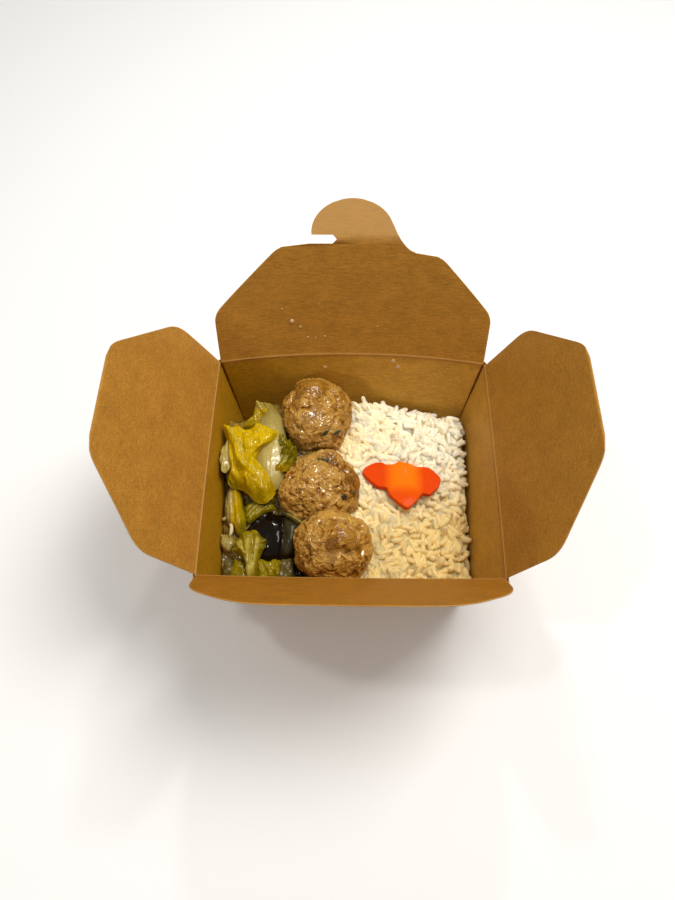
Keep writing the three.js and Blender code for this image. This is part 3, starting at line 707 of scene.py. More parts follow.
def rounded_chain(corners, steps=7):
    """An open outline through corners given as ((x, y), rounding): each corner is cut at its rounding
    and bridged by a quadratic curve. Returns whole arrays of x and y."""
    places = np.array([corner for corner, _ in corners], dtype=float)
    parts = [places[:1]]
    for i in range(1, len(places) - 1):
        radius = corners[i][1]
        start = places[i] + unit(places[i - 1] - places[i]) * radius
        end = places[i] + unit(places[i + 1] - places[i]) * radius
        share = np.linspace(0.0, 1.0, steps)[:, None]
        parts.append((1 - share) ** 2 * start + 2 * share * (1 - share) * places[i] + share ** 2 * end)
    parts.append(places[-1:])
    chain = np.concatenate(parts)
    return chain[:, 0], chain[:, 1]


def bulge(share):
    """Outward bow of the back wall's rim at a share -1..1 of its half length: a flat-topped arch."""
    return BACK_BULGE * (1.0 - share ** 2) ** 0.9


class Panel:
    """One wall and its flap. `along` runs along the crease, `out` points away from the box."""

    def __init__(self, name, along, out, origin, half_rim, half_foot, lean_foot, angle, bow):
        self.name = name
        self.along = np.array(along, dtype=float)
        self.out = np.array(out, dtype=float)
        self.origin = np.array(origin, dtype=float)
        self.half_rim = half_rim
        self.half_foot = half_foot
        self.lean = lean_foot
        self.angle = math.radians(angle)
        self.bow = bow
        self.mean_bow = float(bow(np.linspace(-1, 1, 50)).mean())

    def wall(self, share, depth):
        """A wall point: `share` -1..1 along it, `depth` below the crease. The half length and the
        lean grow in proportion to depth, and the bow fades towards the foot."""
        down = depth / self.origin[2]
        half = self.half_rim + (self.half_foot - self.half_rim) * down
        outwards = -self.lean * down + self.bow(share) * np.clip(1.0 - down, 0, 1) ** 0.8
        foot = smooth(0.985, 1.0, down)
        return (self.origin + (share * half)[..., None] * self.along
                + (outwards - 0.5 * foot)[..., None] * self.out
                - (depth - 0.25 * foot)[..., None] * np.array([0.0, 0.0, 1.0]))

    def flap(self, x, reach, lean_back=None):
        """A flap point: x along the crease, `reach` away from it, up the flap's slope, which may lean
        back further out. The run outwards and the rise are sums of the slope's cosine and sine over
        short steps. Half of the crease's bow fades into its mean as the flap goes out."""
        steps = np.linspace(0.0, float(reach.max()), 600)
        slope = self.angle - (lean_back(steps) if lean_back else 0.0 * steps)
        length = np.diff(steps, prepend=0.0)
        run = np.interp(reach, steps, np.cumsum(np.cos(slope) * length))
        rise = np.interp(reach, steps, np.cumsum(np.sin(slope) * length))
        fade = 0.55 * smooth(0.0, 60.0, reach)
        bow = self.bow(np.clip(x / self.half_rim, -1, 1)) * (1.0 - fade) + self.mean_bow * fade
        return (self.origin + x[..., None] * self.along + (run + bow)[..., None] * self.out
                + rise[..., None] * np.array([0.0, 0.0, 1.0]))


def side_bow(share):
    """The short walls and the front wall bow very slightly."""
    return 0.5 * (1.0 - share ** 2)


def column_shares(count):
    """Places -1..1 across a panel: even steps with one narrow step at each edge."""
    even = np.linspace(-0.992, 0.992, count - 2)
    return np.concatenate([[-1.0], even, [1.0]])


def wall_depths(height):
    """Depths of a wall's rows, from its foot up to its crease, close together at both ends."""
    low = height - np.array([0.0, 0.15, 0.4, 0.8])
    middle = np.linspace(height - 2.0, 2.0, 26)
    top = np.array([1.4, 1.0, 0.7, 0.45, 0.25, 0.1])
    return np.concatenate([low, middle, top])


def flap_reaches(stops):
    """Distances of a flap's rows from its crease, close together at the crease and at each stop."""
    near = np.array([0.0, 0.12, 0.28, 0.5, 0.75, 1.05, 1.4, 1.9, 2.6])
    rows = [near]
    low = near[-1]
    for stop in stops:
        steps = max(2, int((stop - low) / 1.3))
        rows.append(np.linspace(low, stop, steps + 1)[1:-1])
        rows.append(np.array([stop - 0.02, stop]))
        low = stop
    return np.concatenate(rows)


def panel_sheet(panel, reaches, left_edge, right_edge, lean_back=None):
    """The wall and the flap as one sheet of card, with marks for its crease and its cut edges."""
    shares = column_shares(70)
    depths = wall_depths(panel.origin[2] - CARD / 2)
    wall_share, wall_depth = np.meshgrid(shares, depths)
    wall = panel.wall(wall_share, wall_depth)
    flap_share, reach = np.meshgrid(shares, reaches)
    middle = (right_edge(reach) + left_edge(reach)) / 2
    half = (right_edge(reach) - left_edge(reach)) / 2
    x = middle + flap_share * half
    flap = panel.flap(x, reach, lean_back)
    grid = np.concatenate([wall, flap])
    wave = layered(grid, CARD_WAVE[0], 2, seed=len(panel.name))[..., None] * CARD_WAVE[1]
    inwards = -panel.out * math.sin(panel.angle)
    from_crease = np.concatenate([wall_depth, reach])
    calm = smooth(0.0, 14.0, from_crease)[..., None]
    ridge = (CREASE_RIDGE[0] * np.exp(-(from_crease / CREASE_RIDGE[1]) ** 2))[..., None]
    grid = grid + (wave * calm + ridge) * inwards
    columns = grid.shape[1]
    cut = np.zeros(grid.shape[:2])
    cut[len(depths):, [0, columns - 1]] = 1.0
    cut[-1] = 1.0
    # Where the painted highlight along the crease lies.
    crease = np.exp(-(from_crease / 0.4) ** 2)
    # Where the tab's painted sheen lies.
    worn = np.zeros(grid.shape[:2])
    if lean_back is not None:
        worn[len(depths):] = smooth(*TAB_BEND_ROWS, reach)
    inner_face = np.array([1.0, 0.0])[:, None, None]
    # Painted bounce light on the walls' inner faces, fading in below the crease.
    lining = np.zeros(grid.shape[:2])
    lining[:len(depths)] = smooth(0.2, 3.0, wall_depth)
    # Painted shade on the inner faces of the panels in the table of painted shade.
    stain = np.full(grid.shape[:2], PANEL_SHADES.get(panel.name, 0.0))
    return grid, {"crease": crease, "cut": cut, "worn": worn, "lining": lining * inner_face,
                  "stain": stain * inner_face}


def card_piece(panel, grid, marks, material, node):
    """The sheet as one piece, its wall and flap together, with no body to move with."""
    obj = thin_sheet("card_" + panel.name, grid, CARD / 2, marks)
    dress(obj, material, body=None)
    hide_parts(node)
    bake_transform(obj)


def flap_edges(left_outline, right_outline):
    """The two edges of a flap from the outlines of its halves."""
    left_x, left_y = rounded_chain(left_outline)
    right_x, right_y = rounded_chain(right_outline)
    return (lambda reach: -np.interp(reach, left_y, left_x),
            lambda reach: np.interp(reach, right_y, right_x))


def tab_edges():
    """Edges of the back flap with its round tab. Rows in the slot's height start at the slot's round
    end, and rows above it at the tab's own round edge."""
    left_x, left_y = rounded_chain(BACK_LEFT)
    right_x, right_y = rounded_chain(BACK_RIGHT)
    slot_top = SLOT_FOOT + SLOT_WIDTH
    slot_middle = SLOT_FOOT + SLOT_WIDTH / 2

    def ellipse(reach):
        height = np.clip((reach - TAB_CENTRE[1]) / TAB_RADIUS[1], -1.0, 0.9995)
        return TAB_RADIUS[0] * np.sqrt(1.0 - height ** 2)

    def left(reach):
        edge = -np.interp(reach, left_y, left_x)
        round_end = SLOT_END - SLOT_WIDTH / 2 + np.sqrt(
            np.clip((SLOT_WIDTH / 2) ** 2 - (reach - slot_middle) ** 2, 0.0, None))
        edge = np.where(reach >= SLOT_FOOT, round_end, edge)
        return np.where(reach >= slot_top, TAB_CENTRE[0] - ellipse(reach), edge)

    def right(reach):
        edge = np.interp(reach, right_y, right_x)
        return np.where(reach >= right_y[-1], TAB_CENTRE[0] + ellipse(reach), edge)

    return left, right


def corner_web(name, side, end, material):
    """A corner web: a sheet that leaves the long wall's end, folds round the corner and lies doubled
    against the outside of the short wall. Each height has the same path, whose reach along the
    short wall grows from nothing at the foot to its full length at the rim."""
    heights = np.concatenate([np.linspace(0.6, BOX_HEIGHT - WEB_DROP - 0.4, 40), [BOX_HEIGHT - WEB_DROP]])
    share = (heights / BOX_HEIGHT)[:, None]
    reach = np.maximum(WEB_REACH * share, 0.8)
    gap = CORNER_GAP * share
    pocket = POCKET_DEPTH * share + 0.5
    inner, outer = 0.62, 1.28
    even = np.linspace(0.0, 1.0, 18)[None, :]
    turn = np.radians(np.linspace(270, 90, 9))[None, :]
    round_fold = np.radians(np.linspace(80, -80, 7))[None, :]
    corner_radius = (outer + gap) / 2
    fold_radius = (outer - inner) / 2
    parts = (
        (-pocket * np.array([[0.0, 0.4]]), -gap + 0 * share * np.zeros((1, 2))),
        (corner_radius - pocket + corner_radius * np.cos(turn),
         (outer - gap) / 2 + corner_radius * np.sin(turn)),
        (1.4 * corner_radius - pocket + (reach - 1.4 * corner_radius + pocket).clip(0.05) * even * 0.98,
         outer + 0 * even + 0 * share),
        (reach + fold_radius * np.cos(round_fold),
         (outer + inner) / 2 + fold_radius * np.sin(round_fold) + 0 * share),
        (0.7 + (reach - 0.7).clip(0.02) * even[:, ::-1] * 0.97, inner + 0 * even + 0 * share),
        (np.array([[0.35, 0.12, 0.05]]) + 0 * share, np.array([[0.5, 0.3, 0.0]]) + 0 * share),
    )
    a_parts, b_parts = zip(*parts)
    a = np.concatenate(a_parts, axis=1)
    b = np.concatenate(b_parts, axis=1)
    z = np.broadcast_to(heights[:, None], a.shape)
    down = 1.0 - z / BOX_HEIGHT
    x = side * (RIM_HALF_WIDTH - WALL_LEAN * down + b)
    corner = (BACK_CORNER if end > 0 else -FRONT_LINE) - WALL_LEAN * down
    y = end * (corner - a)
    grid = np.stack([x, y, z], axis=-1)
    # The fold carries the painted highlight of a crease.
    fold = np.exp(-((a - reach) / 0.5) ** 2) * 0.8
    cut = np.zeros(a.shape)
    cut[-1] = 1.0
    obj = thin_sheet(name, grid, CARD * 0.42, {"crease": fold, "cut": cut})
    dress(obj, material)


def base_sheet(material):
    """The bottom panel: a flat sheet of card that lies on the table."""
    half_width = RIM_HALF_WIDTH - WALL_LEAN - 0.1
    front = FRONT_LINE + WALL_LEAN + 0.1
    back = BACK_CORNER - WALL_LEAN - 0.1
    x, y = np.meshgrid(np.linspace(-half_width, half_width, 30), np.linspace(front, back, 26))
    z = np.full_like(x, CARD / 2)
    obj = thin_sheet("card_base", np.stack([x, y, z], axis=-1), CARD / 2, {"crease": 0 * x, "cut": 0 * x})
    dress(obj, material)
    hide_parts("tray")


def drops(name, panel, places, on_flap, body, material):
    """Water drops as one piece: low domes, each a ball flattened along the card's inner face. The half
    below the face is shallower still, so that it stays within the card."""
    rings = sphere_grid(9, 16)
    rings[..., 2] = np.where(rings[..., 2] < 0, DROP_ROOT, 1.0) * rings[..., 2]
    balls = []
    for along, reach, radius in places:
        if on_flap:
            spots = panel.flap(np.array([along, along + 0.5, along]), np.array([reach, reach, reach + 0.5]))
        else:
            share = np.array([along, along + 0.5, along]) / panel.half_rim
            spots = panel.wall(share, np.array([reach, reach, reach - 0.5]))
        first, second = unit(spots[1] - spots[0]), unit(spots[2] - spots[0])
        inwards = unit(np.cross(first, second))
        basis = np.stack([first, second, inwards]) * radius * np.array([[1.0], [1.1], [0.55]])
        place = spots[0] + inwards * CARD / 2
        poles = np.array([[0.0, 0.0, 1.0], [0.0, 0.0, -DROP_ROOT]]) @ basis + place
        balls.append((rings @ basis + place, poles))
    dress(joined_balls(name, balls), material, body)


def make_box(settings):
    """Builds the four walls with their flaps, the corner webs, the base and the water drops."""
    material = card_material(settings)
    base_sheet(material)
    depth_middle = (BACK_CORNER + FRONT_LINE) / 2
    half_depth = (BACK_CORNER - FRONT_LINE) / 2
    side = dict(half_rim=half_depth, half_foot=half_depth - WALL_LEAN, lean_foot=WALL_LEAN, bow=side_bow)
    long = dict(half_rim=RIM_HALF_WIDTH - CORNER_GAP, half_foot=RIM_HALF_WIDTH - WALL_LEAN,
                lean_foot=WALL_LEAN)
    panels = {
        "left": Panel("left", (0, 1, 0), (-1, 0, 0), (-RIM_HALF_WIDTH, depth_middle, SIDE_CREASE_HEIGHT),
                      angle=FLAP_ANGLES["left"], **side),
        "right": Panel("right", (0, -1, 0), (1, 0, 0), (RIM_HALF_WIDTH, depth_middle, SIDE_CREASE_HEIGHT),
                       angle=FLAP_ANGLES["right"], **side),
        "front": Panel("front", (-1, 0, 0), (0, -1, 0), (0, FRONT_LINE, BOX_HEIGHT),
                       angle=FLAP_ANGLES["front"], bow=side_bow, **long),
        "back": Panel("back", (1, 0, 0), (0, 1, 0), (0, BACK_CORNER, BOX_HEIGHT),
                      angle=FLAP_ANGLES["back"], bow=bulge, **long),
    }
    slot_top = SLOT_FOOT + SLOT_WIDTH
    outlines = {
        "left": (flap_reaches([SIDE_REACH]), *flap_edges(SIDE_OUTLINE, LEFT_BACK), None),
        "right": (flap_reaches([SIDE_REACH]), *flap_edges(SIDE_OUTLINE, SIDE_OUTLINE), None),
        "front": (flap_reaches([FRONT_REACH]), *flap_edges(FRONT_OUTLINE, FRONT_OUTLINE), None),
        "back": (flap_reaches([SLOT_FOOT, slot_top, TAB_TOP - 0.4, TAB_TOP - 0.01]), *tab_edges(),
                 lambda reach: math.radians(TAB_BEND) * smooth(*TAB_BEND_ROWS, reach)),
    }
    for name, panel in panels.items():
        reaches, left, right, lean = outlines[name]
        grid, marks = panel_sheet(panel, reaches, left, right, lean)
        card_piece(panel, grid, marks, material, "flap_" + name)
    for side_name, side_sign in (("left", -1), ("right", 1)):
        for end_name, end_sign in (("front", -1), ("back", 1)):
            corner_web(f"card_web_{side_name}_{end_name}", side_sign, end_sign, material)
    water = water_material()
    drops("water_drops_flap", panels["back"], FLAP_DROPS, True, "lid_back", water)
    drops("water_drops_wall", panels["back"], WALL_DROPS, False, "box", water)


# ---- rice ------------------------------------------------------------------------------------

def divide(y):
    """Where the rice ends and the cabbage begins, under the row of meatballs."""
    return -12.6 - 0.13 * y


def unevenness(x, y):
    """Soft hills and hollows of a heap: two crossed waves."""
    return np.sin(0.43 * x + 0.9) * np.cos(0.37 * y) + 0.7 * np.sin(0.71 * y + 0.31 * x)


def rice_top(x, y):
    """Height of the rice: a slope that falls to the front and the right, lower along the back wall and
    the right wall and lowest in the corner between them, with soft hills."""
    across = smooth(-12, 60, x)
    along = smooth(-50, 45, y)
    plane = 36.5 + (24.5 + 10.0 * along - 36.5) * across + 3 * along * (1 - across)
    back_fall = (2 + 11 * smooth(5, 55, x)) * smooth(38, 53, y)
    side_fall = 5 * smooth(52, 62, x)
    corner_fall = 6 * smooth(30, 58, x) * smooth(32, 52, y)
    return plane - back_fall - side_fall - corner_fall + 0.75 * unevenness(x, y)


def wall_room(z, clearance):
    """Half width, front and back limits inside the box at a height."""
    down = WALL_LEAN * (1.0 - z / BOX_HEIGHT)
    half = RIM_HALF_WIDTH - down - clearance
    return half, FRONT_LINE + down + clearance, BACK_CORNER - down - clearance


def kept_inside(points, clearance):
    """Points of food with what would reach into a wall laid flat against it. The back wall bows out."""
    x, y, z = points[..., 0], points[..., 1], points[..., 2]
    half, front, back = wall_room(z, clearance)
    bow = bulge(np.clip(x / RIM_HALF_WIDTH, -1, 1)) * np.clip(z / BOX_HEIGHT, 0, 1) ** 0.8
    return np.stack([np.clip(x, -half, half), np.clip(y, front, back + bow), z], axis=-1)


def heap_grid(left, right, top, clearance, columns, rows):
    """A heap between two lines across the box: its top follows `top`, its foot the box's floor."""
    u, v = np.meshgrid(np.linspace(0, 1, columns), np.linspace(0, 1, rows))
    _, front, back = wall_room(30.0, clearance)
    y = front + (back - front) * v
    x = left(y) + (right(y) - left(y)) * u
    z = top(x, y)
    half, front, back = wall_room(z, clearance)
    x = np.clip(x, -half, half)
    y = np.clip(y, front, back)
    return np.stack([x, y, z], axis=-1)


def heap_solid(name, grid, tone):
    """A closed solid from a heap's top down to its foot, narrowing as the walls do. `tone` is one
    number for each point of the top."""
    half, front, back = wall_room(HEAP_FOOT, FOOT_CLEARANCE)
    low = grid.copy()
    low[..., 0] = np.clip(low[..., 0], -half, half)
    low[..., 1] = np.clip(low[..., 1], front, back)
    low[..., 2] = HEAP_FOOT
    tones = {"tone": np.tile(tone.ravel(), 2)}
    return build_mesh(name, np.concatenate([grid, low]), slab_faces(*grid.shape[:2]), tones)


def grain_shape(sides=7):
    """One cooked grain along X, length and width 1: rings whose radius follows a full, blunt,
    slightly lopsided spindle, closed at both ends."""
    places = np.array([-0.475, -0.38, -0.14, 0.14, 0.37, 0.475])
    radii = np.array([0.27, 0.43, 0.5, 0.5, 0.42, 0.25])
    rows = len(places)
    angle = np.arange(sides) * 2 * np.pi / sides
    rings = np.stack([
        np.broadcast_to(places[:, None], (rows, sides)),
        radii[:, None] * np.cos(angle),
        radii[:, None] * np.sin(angle),
    ], axis=-1)
    points = np.concatenate([rings.reshape(-1, 3), [[-0.5, 0, 0]], [[0.5, 0, 0]]])
    quads, start_fan, end_fan = ball_faces(rows, sides)
    return points, quads, np.concatenate([start_fan, end_fan])


def turned(yaw, pitch, roll):
    """Rotation matrices: roll about the grain, then its pitch, then its heading."""
    cy, sy = np.cos(yaw), np.sin(yaw)
    cp, sp = np.cos(pitch), np.sin(pitch)
    cr, sr = np.cos(roll), np.sin(roll)
    zero, one = np.zeros_like(yaw), np.ones_like(yaw)
    heading = np.stack([cy, -sy, zero, sy, cy, zero, zero, zero, one], axis=-1).reshape(-1, 3, 3)
    tilt = np.stack([cp, zero, sp, zero, one, zero, -sp, zero, cp], axis=-1).reshape(-1, 3, 3)
    spin = np.stack([one, zero, zero, zero, cr, -sr, zero, sr, cr], axis=-1).reshape(-1, 3, 3)
    return heading @ tilt @ spin


def scatter_grains(name, centres, yaw, pitch, length, width, tone, random):
    """Copies of the grain as one mesh: each is scaled, bent a little along its length, turned and
    moved to its centre. What would reach into a wall lies flat against it."""
    shape, quads, fans = grain_shape()
    count = len(centres)
    body = np.broadcast_to(shape, (count, *shape.shape)).copy()
    bend = random.uniform(-0.8, 0.8, count)[:, None]
    flatten = random.uniform(0.84, 1.0, count)[:, None]
    body[..., 0] *= length[:, None]
    body[..., 1] *= width[:, None]
    body[..., 2] *= width[:, None] * flatten
    body[..., 1] += bend * (body[..., 0] / length[:, None] * 2) ** 2
    spin = turned(yaw, pitch, random.uniform(0, 2 * np.pi, count))
    points = np.einsum("nij,nkj->nki", spin, body) + centres[:, None, :]
    points = kept_inside(points, 0.6)
    offset = (np.arange(count) * len(shape))[:, None, None]
    all_quads = (quads[None] + offset).reshape(-1, 4)
    all_fans = (fans[None] + offset).reshape(-1, 3)
    tones = np.repeat(tone, len(shape))
    return build_mesh(name, points, [all_quads, all_fans], {"tone": tones})


def inside_ball(points, ball, margin):
    """Whether points lie within a meatball grown by a margin."""
    offset = (points - np.array(ball["centre"])) / (np.array(ball["radius"]) + margin)
    return np.linalg.norm(offset, axis=-1) < 1.0


def clumps(x, y):
    """Clumps of grains that stick together: the rise of each clump, rounded between creases, and a
    number 0..1 that is the same all over a clump, for the way its grains point."""
    flat = np.stack([x, y, 0 * x], axis=-1)
    warp = np.stack([noise(flat, 7.0, 51), noise(flat, 7.0, 52), 0 * x], axis=-1) * 2.5
    near, second = cells(flat + warp, CLUMP, seed=5)
    open_crease = smooth(-0.1, 0.4, noise(flat, 11.0, 58))
    rise = (1.5 * np.sqrt(np.clip(1.0 - near ** 2, 0.0, 1.0))
            - (0.3 + 1.5 * open_crease) * np.exp(-((second - near) / 0.1) ** 2))
    heading = noise(flat + warp, CLUMP, 57) * 0.5 + 0.5
    return rise - 0.7, heading


def rice_surface(x, y):
    """Top of the rice with its clumps. It drops unevenly at the right wall and the back wall, with a
    notch at the back wall."""
    flat = np.stack([x, y, 0 * x], axis=-1)
    wander = noise(flat, 6.5, 61)
    side_drop = 3.2 * smooth(55.0, 61.0, x + 2.4 * wander)
    back_drop = 2.2 * smooth(43.0, 51.0, y + 1.8 * wander)
    notch = 5.0 * near_line(x, y, (45.5, 52.0), (46.5, 43.0), 2.0)
    return rice_top(x, y) + clumps(x, y)[0] - side_drop - back_drop - notch


def stickiness(x, y):
    """How far the grains melt into each other, 0 to 1: most beside the meatballs, in front and round
    the carrot, least at the back and the right, in patches."""
    flat = np.stack([x, y, 0 * x], axis=-1)
    lean = 0.62 * smooth(48.0, -8.0, x + 0.45 * y) + 0.3 * near_line(x, y, (8.0, -6.0), (45.0, -6.0), 15.0)
    edge = smooth(50.0, 57.0, x) + smooth(42.0, 48.0, y)
    return np.clip(0.22 + lean + 0.45 * noise(flat, 9.0, 63) - 0.8 * edge, 0.0, 1.0)


def rice_core(settings):
    """The body of the rice under its loose grains: the same clumps, lower, with rounded bumps of the
    grains' own size. Where the rice sticks, the body comes up between the grains."""
    grid = heap_grid(lambda y: divide(y) - 4.0, lambda y: 60.0 + 0 * y,
                     lambda x, y: rice_surface(x, y) - 1.2 + 1.15 * stickiness(x, y), 1.8, 180, 270)
    flat = grid * np.array([1, 1, 0.5])
    near, _ = cells(flat + 0.8 * noise(flat, 2.0, 8)[..., None], 3.1, seed=5)
    grid[..., 2] += 0.8 * np.sqrt(np.clip(1.0 - near ** 2, 0.0, 1.0)) - 0.4
    loose = 1.0 - 0.9 * stickiness(grid[..., 0], grid[..., 1])
    # The tone is the share of painted gap shade: a little all over, more in the creases between the bumps,
    # less where the grains stick.
    core = heap_solid("rice_core", grid, loose * (0.2 + 0.6 * smooth(0.5, 0.95, near)))
    dress(core, rice_material(settings, "Rice core"))
    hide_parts("rice")


def clear_of_food(centres):
    """Whether grain centres lie inside the box's walls, outside the meatballs and off the carrot."""
    x, y, z = centres.T
    half, front, back = wall_room(z, 1.4)
    clear = (np.abs(x) < half) & (y > front) & (y < back)
    for ball in BALLS.values():
        clear &= ~inside_ball(centres, ball, 0.4)
    outline = closed_curve(CARROT_OUTLINE, 240, CARROT_PULL) - CARROT_CENTRE[:2]
    bearing = np.arctan2(outline[:, 1], outline[:, 0])
    reach = np.linalg.norm(outline, axis=1)
    place = centres[:, :2] - CARROT_CENTRE[:2]
    edge = np.interp(np.arctan2(place[:, 1], place[:, 0]), bearing, reach, period=2 * np.pi)
    near_edge = np.linalg.norm(place[:, None] - outline, axis=-1).min(axis=1) < 1.7
    under_carrot = near_edge | (np.linalg.norm(place, axis=1) < edge)
    return clear & ~(under_carrot & (z > CARROT_CENTRE[2] - 2.9))


def settle(x, y, yaw, reach, radius, rounds):
    """Pushes lying grains apart until few overlap. A grain is three discs along it. In each round,
    every two discs of different grains that overlap push their grains apart by a part of the overlap,
    and the grains stay in the rice's part of the box."""
    count = len(x)
    offsets = np.array([-1.0, 0.0, 1.0]) * reach
    along_x = np.cos(yaw)[:, None] * offsets
    along_y = np.sin(yaw)[:, None] * offsets
    owner = np.repeat(np.arange(count), len(offsets))
    apart = owner[:, None] != owner
    for _ in range(rounds):
        disc_x = (x[:, None] + along_x).ravel().astype(np.float32)
        disc_y = (y[:, None] + along_y).ravel().astype(np.float32)
        step_x = disc_x[:, None] - disc_x
        step_y = disc_y[:, None] - disc_y
        gap = np.sqrt(step_x ** 2 + step_y ** 2) + 1e-4
        push = np.clip(2 * radius - gap, 0.0, None) * apart / gap
        x = x + 0.3 * (push * step_x).sum(axis=1).reshape(count, -1).sum(axis=1)
        y = y + 0.3 * (push * step_y).sum(axis=1).reshape(count, -1).sum(axis=1)
        y = np.clip(y, RICE_FRONT, RICE_BACK)
        x = np.clip(x, divide(y) - 2.0, RICE_RIGHT)
    return x, y


def rice_layer(settings, random, count, sink, tone):
    """One layer of grains at `sink` below the rice's surface. Grains of a clump point much the same
    way and lie along the slope; some tip up, and those at the two walls point outwards and up.
    Returns centres, headings, pitches, lengths, widths and tones."""
    y = random.uniform(RICE_FRONT, RICE_BACK, count)
    x = random.uniform(divide(y) - 1.0, RICE_RIGHT)
    yaw = clumps(x, y)[1] * 3 * np.pi + random.normal(0, 0.55, count)
    at_back = smooth(42, 49, y) * (random.random(count) < 0.75)
    at_side = smooth(53, 58, x) * (random.random(count) < 0.6) * (at_back < 0.5)
    yaw = np.where(at_back > 0.5, np.pi / 2 + random.normal(0, 0.45, count), yaw)
    yaw = np.where(at_side > 0.5, random.normal(0, 0.5, count), yaw)
    x, y = settle(x, y, yaw, settings.grain_length * 0.3, settings.grain_width * 0.47, 26)
    step = 0.8
    slope_x = (rice_surface(x + step, y) - rice_surface(x - step, y)) / (2 * step)
    slope_y = (rice_surface(x, y + step) - rice_surface(x, y - step)) / (2 * step)
    lie = np.arctan(slope_x * np.cos(yaw) + slope_y * np.sin(yaw)).clip(-0.6, 0.6)
    tipped = random.random(count) < 0.14
    pitch = -lie + random.normal(0, 1, count) * np.where(tipped, 0.5, 0.14)
    pitch = np.where(at_back > 0.5, -random.uniform(0.35, 1.15, count), pitch)
    pitch = np.where(at_side > 0.5, -random.uniform(-0.1, 0.6, count), pitch)
    broken = np.where(random.random(count) < 0.16, random.uniform(0.5, 0.8, count), 1.0)
    length = settings.grain_length * random.normal(1.0, 0.12, count).clip(0.72, 1.25) * broken
    width = settings.grain_width * random.normal(1.0, 0.11, count).clip(0.75, 1.25)
    z = rice_surface(x, y) - sink + random.uniform(-0.3, 0.3, count)
    # Tones are shares of the painted gap shade.
    tones = tone * random.uniform(0.3, 1.0, count)
    return np.stack([x, y, z, yaw, pitch, length, width, tones])


def make_rice(settings):
    """Builds the core of the rice and two layers of loose grains on it: a close one, and a looser one
    on top whose grains show whole."""
    rice_core(settings)
    random = np.random.default_rng(settings.seed)
    # The lower layer gets more painted gap shade than the upper one.
    lower = rice_layer(settings, random, settings.lower_count, 1.0, 0.1)
    upper = rice_layer(settings, random, settings.upper_count, 0.2, 0.03)
    laid = np.concatenate([lower, upper], axis=1)
    laid = laid[:, clear_of_food(laid[:3].T)]
    x, y, z, yaw, pitch, length, width, tone = laid
    grains = scatter_grains("rice_grains", np.stack([x, y, z], axis=-1), yaw, pitch, length, width, tone,
                            random)
    dress(grains, rice_material(settings))

    # Two stray grains: their tones are shares of painted gap shade, and their material is a darker copy.
    places = np.array([[-55.0, -24.8, 42.3], [-58.3, -18.0, 39.5]])
    strays = scatter_grains(
        "rice_strays", places, np.array([1.66, 0.5]), np.array([0.15, -0.1]),
        np.array([6.6, 5.4]), np.array([1.8, 1.9]), np.array([0.1, 0.6]), random)
    dress(strays, rice_material(settings, "Stray rice", 0.75))


# ---- meatballs -------------------------------------------------------------------------------

def lumps(direction, turn):
    """Broad lumps: nine waves in directions spread evenly over the sphere."""
    total = 0.0
    for wave in range(9):
        height = 1 - (2 * wave + 1) / 9
        reach = math.sqrt(1 - height * height)
        around = wave * 2.399963 + turn
        axis = np.array([reach * math.cos(around), reach * math.sin(around), height])
        total = total + np.sin(direction @ axis * (4 + wave) + wave * 1.3 + turn) / (1 + wave * 0.12)
    return total * LUMP_HEIGHT * 0.45


def sphere_grid(rows, columns):
    """Unit directions in rings from near the top to near the bottom."""
    polar = np.linspace(0, np.pi, rows + 2)[1:-1]
    around = np.arange(columns) * 2 * np.pi / columns
    polar, around = np.meshgrid(polar, around, indexing="ij")
    return np.stack([np.sin(polar) * np.cos(around), np.sin(polar) * np.sin(around), np.cos(polar)], axis=-1)


def minced_relief(place, seed, calm):
    """Relief of browned minced meat: rounded lumps and crumbs, each the roof of a cell, torn creases
    between some lumps, and curled strands of two sizes, each the fold of a noise about its zero line.
    Where `calm` is 1 the glaze lies smooth over all but a third of it. Returns the rise in millimetres."""
    warp = np.stack([noise(place, 2.6, seed + i) for i in range(3)], axis=-1)
    near, second = cells(place + 1.4 * warp, 4.3, seed + 3)
    lumps_high = 0.65 * np.sqrt(np.clip(1.0 - near ** 2, 0.0, 1.0))
    torn = smooth(-0.2, 0.4, noise(place, 4.0, seed + 5))
    creases = -0.8 * np.exp(-((second - near) / 0.08) ** 2) * torn
    small, _ = cells(place + 0.9 * warp, 1.9, seed + 7)
    crumbs = 0.5 * np.sqrt(np.clip(1.0 - small ** 2, 0.0, 1.0))
    strands = 1.1 * (0.5 - np.abs(noise(place + 1.6 * warp, 2.6, seed + 9)))
    fine = 0.6 * (0.5 - np.abs(noise(place + warp, 1.2, seed + 19)))
    folds = 0.5 * layered(place + warp, 5.0, 2, seed + 30)
    return folds + (1.0 - 0.7 * calm) * (lumps_high + creases + strands + fine + crumbs) - 0.5


def towards(bearing, elevation):
    """Unit direction at a bearing from +X and an elevation, in degrees."""
    bearing, elevation = math.radians(bearing), math.radians(elevation)
    return np.array([math.cos(bearing) * math.cos(elevation), math.sin(bearing) * math.cos(elevation),
                     math.sin(elevation)])


def ball_surface(ball, direction):
    """Points of a meatball's skin along unit directions from its centre, with the relief, the calm of
    the glaze and the share of grey there."""
    body = direction * (np.array(ball["radius"]) + lumps(direction, ball["turn"])[..., None])
    patchy = 0.35 * noise(body, 5.0, ball["seed"] + 40)
    calm = smooth(0.72, 1.0, direction @ towards(*ball["smooth"]) + patchy)
    grey = smooth(0.7, 1.0, direction @ towards(*ball["grey"]) + patchy)
    rise = minced_relief(body, ball["seed"], calm)
    return np.array(ball["centre"]) + body + direction * (rise - 0.3)[..., None], rise, calm, grey


